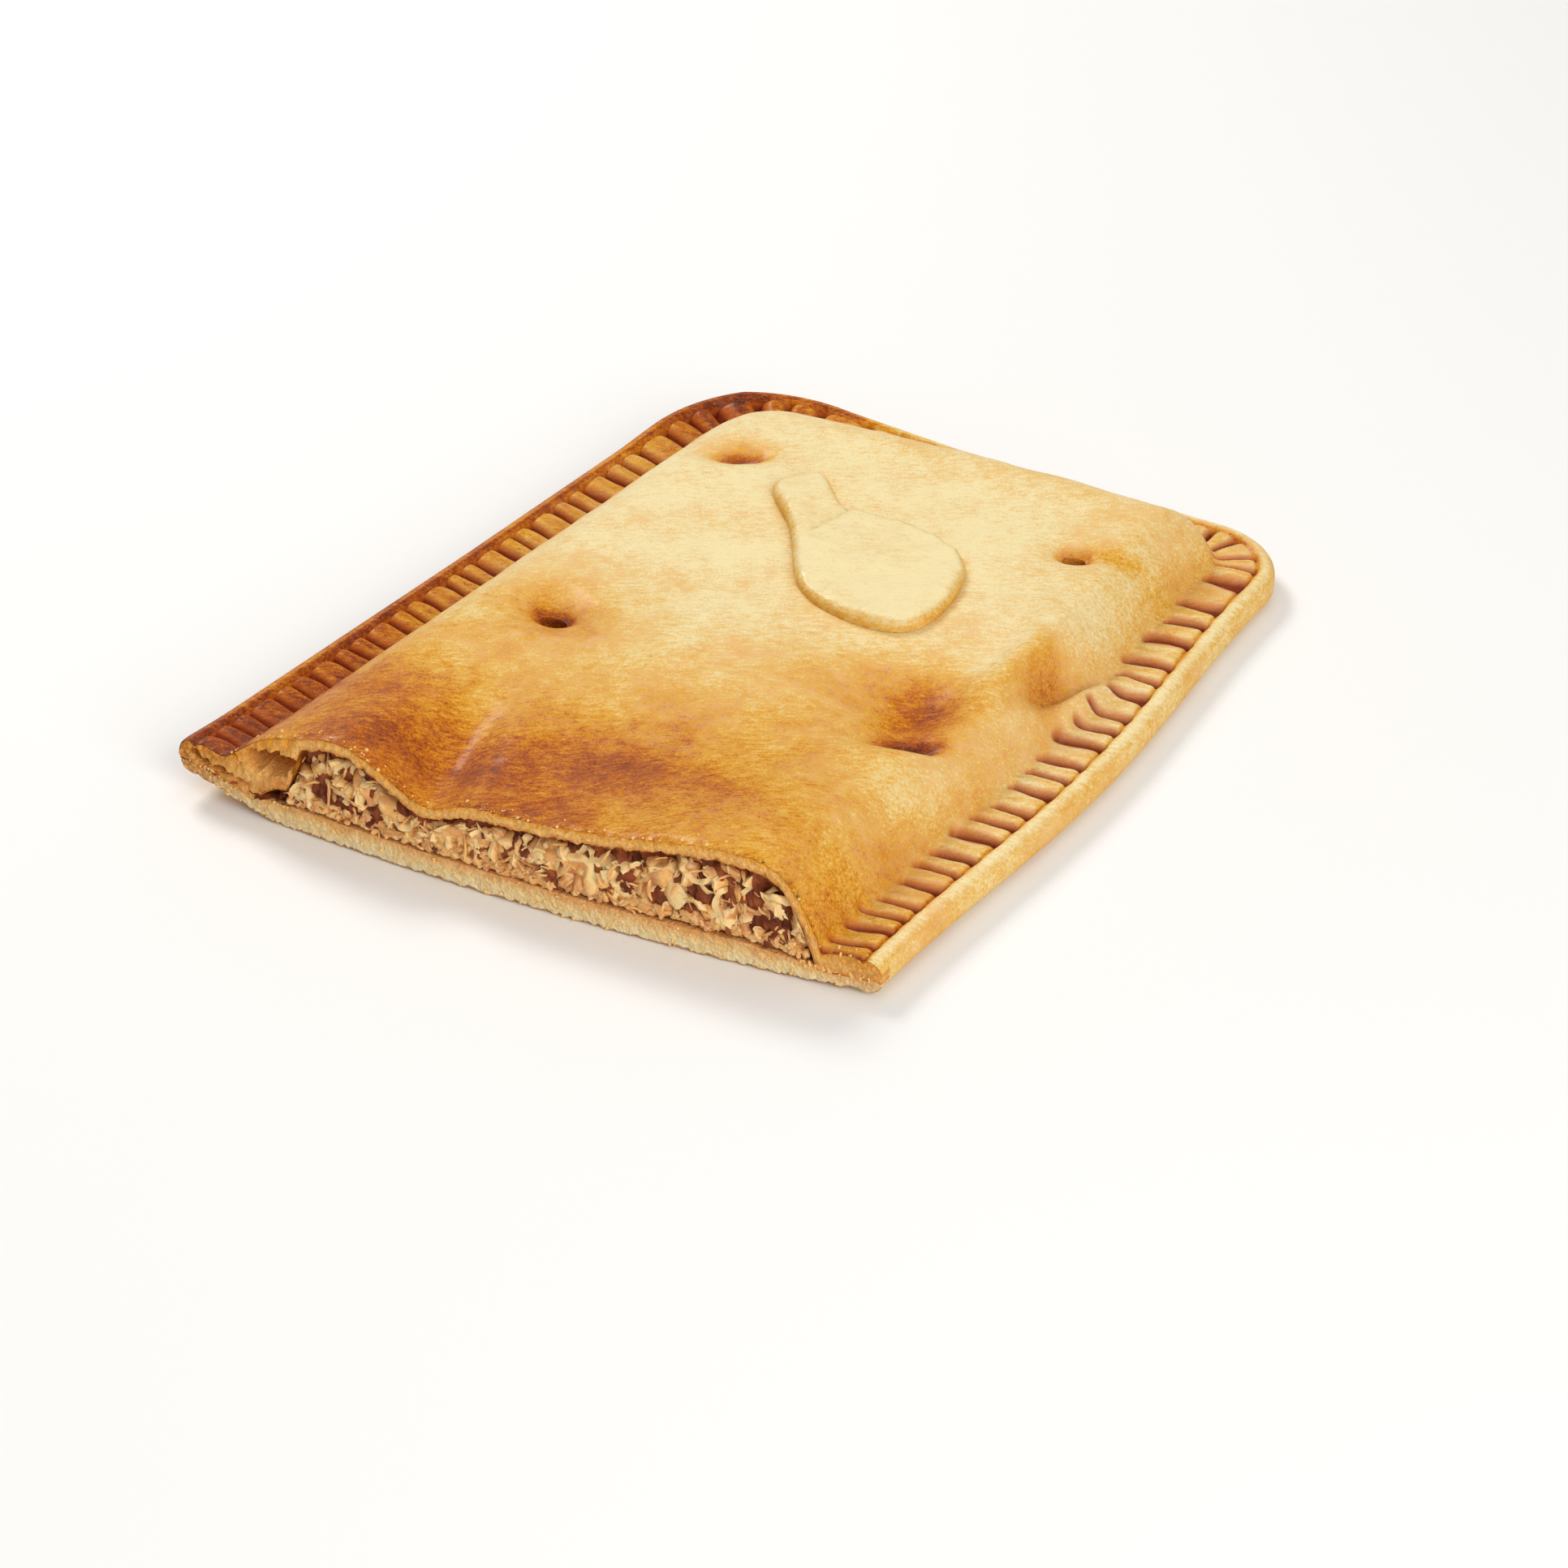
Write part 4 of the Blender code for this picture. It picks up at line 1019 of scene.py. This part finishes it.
class Tree:
    """Adds nodes to a node tree and links them in one line each."""

    def __init__(self, tree):
        self.tree = tree

    def add(self, kind, links=None, **settings):
        node = self.tree.nodes.new(kind if kind.startswith("Node") else "ShaderNode" + kind)
        for key, value in settings.items():
            setattr(node, key, value)
        for key, value in (links or {}).items():
            self.join(value, node.inputs[key])
        return node

    def join(self, value, socket):
        """Link another node's output to a socket, or write a plain value into it."""
        if isinstance(value, bpy.types.NodeSocket):
            self.tree.links.new(value, socket)
        else:
            socket.default_value = value

    def math(self, operation, a, b=0.0, clamp=False):
        return self.add("Math", {0: a, 1: b}, operation=operation, use_clamp=clamp).outputs[0]

    def plus(self, a, b):
        return self.math("ADD", a, b)

    def times(self, a, b):
        return self.math("MULTIPLY", a, b)

    def mix(self, share, a, b, blend="MIX"):
        node = self.add("Mix", data_type="RGBA", blend_type=blend)
        for place, value in ((0, share), (6, a), (7, b)):
            self.join(value, node.inputs[place])
        return node.outputs[2]

    def ramp(self, value, stops):
        node = self.add("ValToRGB", {0: value})
        ramp = node.color_ramp
        while len(ramp.elements) < len(stops):
            ramp.elements.new(0.5)
        for element, (at, colour) in zip(ramp.elements, stops):
            element.position, element.color = at, colour
        return node.outputs[0]

    def grey(self, value, *stops):
        """A ramp of greys, from pairs of a place and a brightness."""
        return self.ramp(value, [(at, (bright, bright, bright, 1)) for at, bright in stops])

    def noise(self, vector, scale, detail=3.0, roughness=0.55):
        settings = {"Vector": vector, "Scale": scale, "Detail": detail, "Roughness": roughness}
        return self.add("TexNoise", settings).outputs[0]

    def value(self, name):
        return self.add("Attribute", attribute_name=name).outputs["Fac"]


def new_group(name, inputs, outputs):
    """A shader node group with its sockets, and the tools to fill it."""
    group = bpy.data.node_groups.new(name, "ShaderNodeTree")
    for direction, sockets in (("INPUT", inputs), ("OUTPUT", outputs)):
        for socket, kind in sockets:
            group.interface.new_socket(socket, in_out=direction, socket_type="NodeSocket" + kind)
    return group, Tree(group)


# %% The shared skin of baked dough
# how browned, colour
BAKED_COLOURS = [
    (0.0, srgb(241, 223, 170)),
    (0.12, srgb(236, 211, 154)),
    (0.26, srgb(231, 194, 116)),
    (0.40, srgb(224, 168, 66)),
    (0.54, srgb(212, 143, 26)),
    (0.66, srgb(194, 108, 18)),
    (0.80, srgb(160, 74, 18)),
    (0.92, srgb(118, 46, 18)),
    (1.0, srgb(78, 30, 14)),
]
SCUFF_AND_SHEEN_COLOUR, GROOVE_SIDE, GROOVE_FLOOR = srgb(238, 192, 146), srgb(196, 98, 34), srgb(136, 48, 20)
BRUSHED = {"Rotation": (0, 0, math.radians(28.9)), "Scale": (3.4, 1.0, 1.0)}


def baked_skin_group():
    inputs = [(name, "Float") for name in ("Browning", "Groove", "Mottling", "Blush")]
    outputs = [("Colour", "Color"), ("Roughness", "Float"), ("Height", "Float")]
    group, t = new_group("baked skin", inputs, outputs)
    given = t.add("NodeGroupInput").outputs
    place = t.add("TexCoord").outputs["Object"]
    brushed = t.add("Mapping", {"Vector": place, **BRUSHED}, vector_type="TEXTURE").outputs[0]
    broad, middle = t.noise(place, 50, 4), t.noise(place, 300, 5, 0.62)
    fine, streaks = t.noise(place, 1900, 3, 0.6), t.noise(brushed, 1250, 4, 0.62)
    level = given["Browning"]
    for texture, amount in ((broad, 0.95), (middle, 0.5), (streaks, 1.0), (fine, 0.85)):
        swing = t.times(t.math("SUBTRACT", texture, 0.5), t.times(given["Mottling"], amount))
        level = t.plus(level, swing)
    colour = t.ramp(level, BAKED_COLOURS)
    # Pale pinkish spots on half-browned skin: partly scuffs in the egg wash, partly painted sheen.
    patch = t.grey(t.noise(place, 48, 3), (0.40, 0), (0.62, 1))
    scuffs_and_sheen = t.grey(t.plus(t.times(streaks, 0.65), t.times(fine, 0.35)), (0.46, 0), (0.62, 1))
    share = t.math("MULTIPLY", t.times(patch, scuffs_and_sheen), given["Blush"], clamp=True)
    half_browned = t.grey(level, (0.1, 0), (0.3, 1), (0.5, 0.9), (0.72, 0.1))
    colour = t.mix(t.times(share, half_browned), colour, SCUFF_AND_SHEEN_COLOUR)
    # Groove colours: partly egg wash pooled in the grooves, partly painted shade in them.
    colour = t.mix(t.times(t.grey(given["Groove"], (0.1, 0), (0.34, 1)), 0.72), colour, GROOVE_SIDE)
    colour = t.mix(t.times(t.grey(given["Groove"], (0.36, 0), (0.66, 1)), 0.9), colour, GROOVE_FLOOR)
    roughness = t.plus(t.times(fine, 0.25), 0.42)
    height = t.plus(t.times(streaks, 0.5), t.plus(t.times(fine, 0.25), t.times(middle, 0.5)))
    t.add("NodeGroupOutput", {"Colour": colour, "Roughness": roughness, "Height": height})
    return group


skin_group = baked_skin_group()
print("group", skin_group.name, "with", len(skin_group.nodes), "nodes")


# %% [markdown]
# The cut face.
#
# Where the knife went, dough is not skin but crumb: golden just under the skin, paler further down, with
# small pores and pale grains, and browned right through at its thin ends. It could be part of the skin's
# group, but a second group is easier to read, and the lid and the base can each give it their own three
# colours.


# %% The cut face of baked dough
PORE_SHADE, PALE_GRAIN = (0.66, 0.48, 0.3, 1), (1, 0.86, 0.58, 1)
TOASTED, TOASTED_GRAIN, HOLLOW_DOUGH = srgb(238, 158, 62), srgb(172, 92, 34), srgb(222, 148, 74)


def crumb_group():
    inputs = [(name, "Color") for name in ("Near skin", "Middle", "Lower edge")]
    inputs += [(name, "Float") for name in ("Down", "Hollow", "Toast")]
    group, t = new_group("dough crumb", inputs, [("Colour", "Color"), ("Height", "Float")])
    given = t.add("NodeGroupInput").outputs
    place = t.add("TexCoord").outputs["Object"]
    pores = t.add("TexVoronoi", {"Vector": place, "Scale": 1100.0, "Randomness": 1.0}).outputs["Distance"]
    grain, soft = t.noise(place, 1500, 4, 0.65), t.noise(place, 240, 4)
    down = t.plus(given["Down"], t.times(t.math("SUBTRACT", soft, 0.5), 0.8))
    colour = t.mix(t.grey(down, (0.05, 0), (0.5, 1)), given["Near skin"], given["Middle"])
    colour = t.mix(t.grey(down, (0.55, 0), (1.0, 1)), colour, given["Lower edge"])
    colour = t.mix(0.4, colour, t.ramp(pores, [(0.05, PORE_SHADE), (0.35, (1, 1, 1, 1))]), "MULTIPLY")
    colour = t.mix(t.grey(grain, (0.52, 0), (0.75, 0.5)), colour, PALE_GRAIN)
    uneven = t.grey(t.plus(soft, t.times(grain, 0.5)), (0.5, 0.15), (0.9, 1))
    colour = t.mix(t.times(uneven, given["Toast"]), colour, TOASTED)
    browned_grains = t.plus(t.times(given["Toast"], 0.6), 0.1)
    grains = t.times(t.grey(pores, (0.3, 0), (0.62, 1)), browned_grains)
    colour = t.mix(grains, colour, TOASTED_GRAIN)
    colour = t.mix(t.times(given["Hollow"], 0.8), colour, HOLLOW_DOUGH)
    height = t.plus(t.times(grain, 0.7), t.times(pores, 0.5))
    t.add("NodeGroupOutput", {"Colour": colour, "Height": height})
    return group


crumb = crumb_group()
print("group", crumb.name, "with", len(crumb.nodes), "nodes")


# %% Crust materials
def new_material(name):
    """A material, the tools to fill it and its shader."""
    material = bpy.data.materials.new(name)
    material.use_nodes = True
    return material, Tree(material.node_tree), material.node_tree.nodes["Principled BSDF"]


def crust_material(name, mottling, blush, section_colours, coat, bump):
    """Dough with its skin outside and crumb where it was cut."""
    material, t, shader = new_material(name)
    skin = t.add("Group", node_tree=skin_group)
    given = {"Mottling": mottling, "Blush": blush}
    given |= {"Browning": t.value("browning"), "Groove": t.value("groove")}
    for key, value in given.items():
        t.join(value, skin.inputs[key])
    cut = t.add("Group", node_tree=crumb)
    given = dict(zip(("Near skin", "Middle", "Lower edge"), section_colours))
    given |= {"Down": t.value("down"), "Hollow": t.value("hollow"), "Toast": t.value("toast")}
    for key, value in given.items():
        t.join(value, cut.inputs[key])
    section = t.grey(t.value("section"), (0.12, 0), (0.6, 1))
    t.join(t.mix(section, skin.outputs["Colour"], cut.outputs["Colour"]), shader.inputs["Base Color"])
    dry = t.times(section, t.math("SUBTRACT", 0.3, t.times(t.value("hollow"), 0.5)))
    t.join(t.plus(skin.outputs["Roughness"], dry), shader.inputs["Roughness"])
    height = t.plus(skin.outputs["Height"], t.times(t.times(section, cut.outputs["Height"]), 1.6))
    bumped = t.add("Bump", {"Height": height, "Strength": bump, "Distance": 0.5 * MM})
    t.join(bumped.outputs[0], shader.inputs["Normal"])
    shader.inputs["Specular IOR Level"].default_value = 0.1
    shader.inputs["Coat Weight"].default_value = coat
    shader.inputs["Coat Roughness"].default_value = 0.2
    shader.inputs["Subsurface Weight"].default_value = 0.12
    shader.inputs["Subsurface Radius"].default_value = (0.003, 0.0014, 0.0006)
    return material


lid_section = (srgb(246, 166, 48), srgb(252, 194, 106), srgb(232, 150, 66))
base_section = (srgb(238, 172, 100), srgb(255, 222, 156), srgb(255, 240, 198))
lid_crust = crust_material("egg-washed crust", 0.66, 0.9, lid_section, 0.12, 1.0)
base_crust = crust_material("plain crust", 0.45, 0.3, base_section, 0.0, 0.9)
pale_dough = crust_material("pale dough", 0.5, 0.15, lid_section, 0.2, 1.0)


# %% Loose crumb
loose_crumb, _, crumb_shader = new_material("loose crumb")
crumb_shader.inputs["Base Color"].default_value = srgb(244, 196, 118)
crumb_shader.inputs["Roughness"].default_value = 0.8


# %% [markdown]
# Tuna.
#
# Baked tuna is moist and lets some light in, so it gets a clear coat and light that passes under its
# surface. Seen close, a flake is tan inside and cream at its torn edges, and the mass behind the flakes is
# a dark red-brown. The cream edges are partly painted highlight, and the dark of the mass is partly painted
# shade in the gaps between the flakes. Both are one recipe: the flakes add the pale edges, and the mass is
# painted darker still where it shows through the vents, as painted shade in the vent holes.


# %% Tuna materials
def tuna_material(name, body, deep, wet, pale_edge_and_highlight=None):
    """Flaked tuna. With a colour for pale edges and highlight it is for flakes; without, the mass, with
    painted vent shade.
    """
    material, t, shader = new_material(name)
    place = t.add("TexCoord").outputs["Object"]
    soft, grain = t.noise(place, 220, 3), t.noise(place, 1400, 4, 0.65)
    colour = t.mix(t.grey(soft, (0.35, 0), (0.68, 1)), deep, body)
    if pale_edge_and_highlight:
        edge = t.plus(t.value("edge"), t.times(t.math("SUBTRACT", grain, 0.5), 0.5))
        colour = t.mix(t.times(t.value("tint"), 0.4), colour, srgb(246, 182, 92))
        # Pale edges and fibres: partly frayed tuna, partly painted highlight.
        colour = t.mix(t.times(t.grey(edge, (0.6, 0), (1.0, 0.9)), 0.9), colour, pale_edge_and_highlight)
        colour = t.mix(t.times(grain, 0.25), colour, srgb(248, 200, 140))
    else:
        # Painted shade: the mass turns almost black-red where it shows through the vents.
        colour = t.mix(t.value("juice"), colour, srgb(74, 20, 12))
    t.join(colour, shader.inputs["Base Color"])
    t.join(t.plus(t.times(grain, 0.35), 0.16), shader.inputs["Roughness"])
    bumped = t.add("Bump", {"Height": grain, "Strength": 0.6, "Distance": 0.4 * MM})
    t.join(bumped.outputs[0], shader.inputs["Normal"])
    shader.inputs["Specular IOR Level"].default_value = 0.1 + wet
    shader.inputs["Coat Weight"].default_value = 0.7 * wet
    shader.inputs["Coat Roughness"].default_value = 0.15
    shader.inputs["Subsurface Weight"].default_value = 0.3
    shader.inputs["Subsurface Radius"].default_value = (0.003, 0.0012, 0.0006)
    return material


tuna_flesh = tuna_material("tuna flesh", srgb(249, 194, 110), srgb(190, 108, 52), 0.32, srgb(255, 226, 160))
# The mass's dark red-brown is partly its own colour and partly painted shade in the gaps between the flakes.
tuna_deep = tuna_material("tuna mass", srgb(166, 86, 44), srgb(92, 38, 18), 0.04)

# %% [markdown]
# Dressing the pieces.
#
# Each piece gets its material here and rides on a body of the imported model, and the plain solid of the
# node it stands for is hidden. Nothing on a pie moves, so every piece rides on the root.

# %% Dress the pieces
for piece, material, node, slot_name in (
    (lid, lid_crust, "lid", "lid_crust"),
    (base, base_crust, "base", "base_crust"),
    (fish, pale_dough, "dough_fish", "pale_dough"),
    (mass, tuna_deep, "filling", "tuna_filling"),
    (chunks, tuna_flesh, "filling", "tuna_filling"),
    (petals, tuna_flesh, "filling", "tuna_filling"),
    (foot, tuna_flesh, "filling", "tuna_filling"),
    (lid_crumbs, loose_crumb, "lid", "lid_crust"),
    (base_crumbs, loose_crumb, "base", "base_crust"),
    (seam_crumbs, loose_crumb, "base", "base_crust"),
    (curls, tuna_flesh, "filling", "tuna_filling"),
    (shreds, tuna_flesh, "filling", "tuna_filling"),
):
    piece.data.materials.append(material)
    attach(piece, "root")
    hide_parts(node)

# %% [markdown]
# Floor, light and camera.
#
# Food is lit softly, so that crumb and crimps throw small shadows but nothing is lost in them. One lamp
# stands behind and to the left, a wider one fills from the front right, a weak one hangs overhead, and the
# white world adds a little of its own. The camera was found by fitting a lens to straight edges in the
# picture.

# %% Floor
floor_mesh = bpy.data.meshes.new("floor")
FLOOR_REACH, FLOOR_DROP = 3.0, 0.1 * MM
floor_turns = ((-1, -1), (1, -1), (1, 1), (-1, 1))
floor_corners = [(x * FLOOR_REACH, y * FLOOR_REACH, -FLOOR_DROP) for x, y in floor_turns]
floor_mesh.from_pydata(floor_corners, [], [(0, 1, 2, 3)])
floor = bpy.data.objects.new("floor", floor_mesh)
bpy.context.scene.collection.objects.link(floor)
floor_paint = bpy.data.materials.new("pale floor")
floor_paint.use_nodes = True
floor_shader = floor_paint.node_tree.nodes["Principled BSDF"]
floor_shader.inputs["Base Color"].default_value = srgb(244, 243, 241)
floor_shader.inputs["Roughness"].default_value = 0.7
floor_mesh.materials.append(floor_paint)
floor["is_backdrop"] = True


# %% Lamps
def soft_lamp(name, place, aim, size, power, colour):
    lamp = bpy.data.lights.new(name, "AREA")
    lamp.size, lamp.energy, lamp.color = size, power, colour
    made = bpy.data.objects.new(name, lamp)
    made.location = place
    made.rotation_euler = (Vector(aim) - Vector(place)).to_track_quat("-Z", "Y").to_euler()
    bpy.context.scene.collection.objects.link(made)
    return made


soft_lamp("back left", (-0.85, 0.45, 0.9), (0, 0, 0), 0.4, 8.5, (1.0, 0.98, 0.95))
soft_lamp("front fill", (0.95, -0.6, 0.65), (0, 0, 0), 0.8, 9.5, (1.0, 0.98, 0.95))
soft_lamp("overhead", (0.1, 0.1, 1.2), (0, 0, 0), 0.9, 2.2, (1.0, 1.0, 1.0))
world = bpy.data.worlds.new("studio")
bpy.context.scene.world = world
world.use_nodes = True
world.node_tree.nodes["Background"].inputs["Color"].default_value = (1, 1, 1, 1)
world.node_tree.nodes["Background"].inputs["Strength"].default_value = 0.4
bpy.context.scene.view_settings.view_transform = "Standard"

# %% Camera
# The focal length and the width of the picture are in pixels; the places are from the fit, in metres.
FOCAL_LENGTH, PICTURE_WIDTH = 6000, 1932
camera = bpy.data.cameras.new("camera")
camera.sensor_width = 36.0
camera.lens = FOCAL_LENGTH / PICTURE_WIDTH * camera.sensor_width
camera.clip_end = 20
camera_object = bpy.data.objects.new("camera", camera)
camera_object.location = Vector((0.4318, -0.7749 + shift[1], 0.5268))
looked_at = Vector((0.0233, -0.0348 + shift[1], 0.0))
camera_object.rotation_euler = (looked_at - camera_object.location).to_track_quat("-Z", "Y").to_euler()
bpy.context.scene.collection.objects.link(camera_object)
bpy.context.scene.camera = camera_object

# %% Measure and finish
visual_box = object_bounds()
sizes = {"cad": [list(map(float, c)) for c in cad_box], "visual": [list(map(float, c)) for c in visual_box]}
print(sizes)
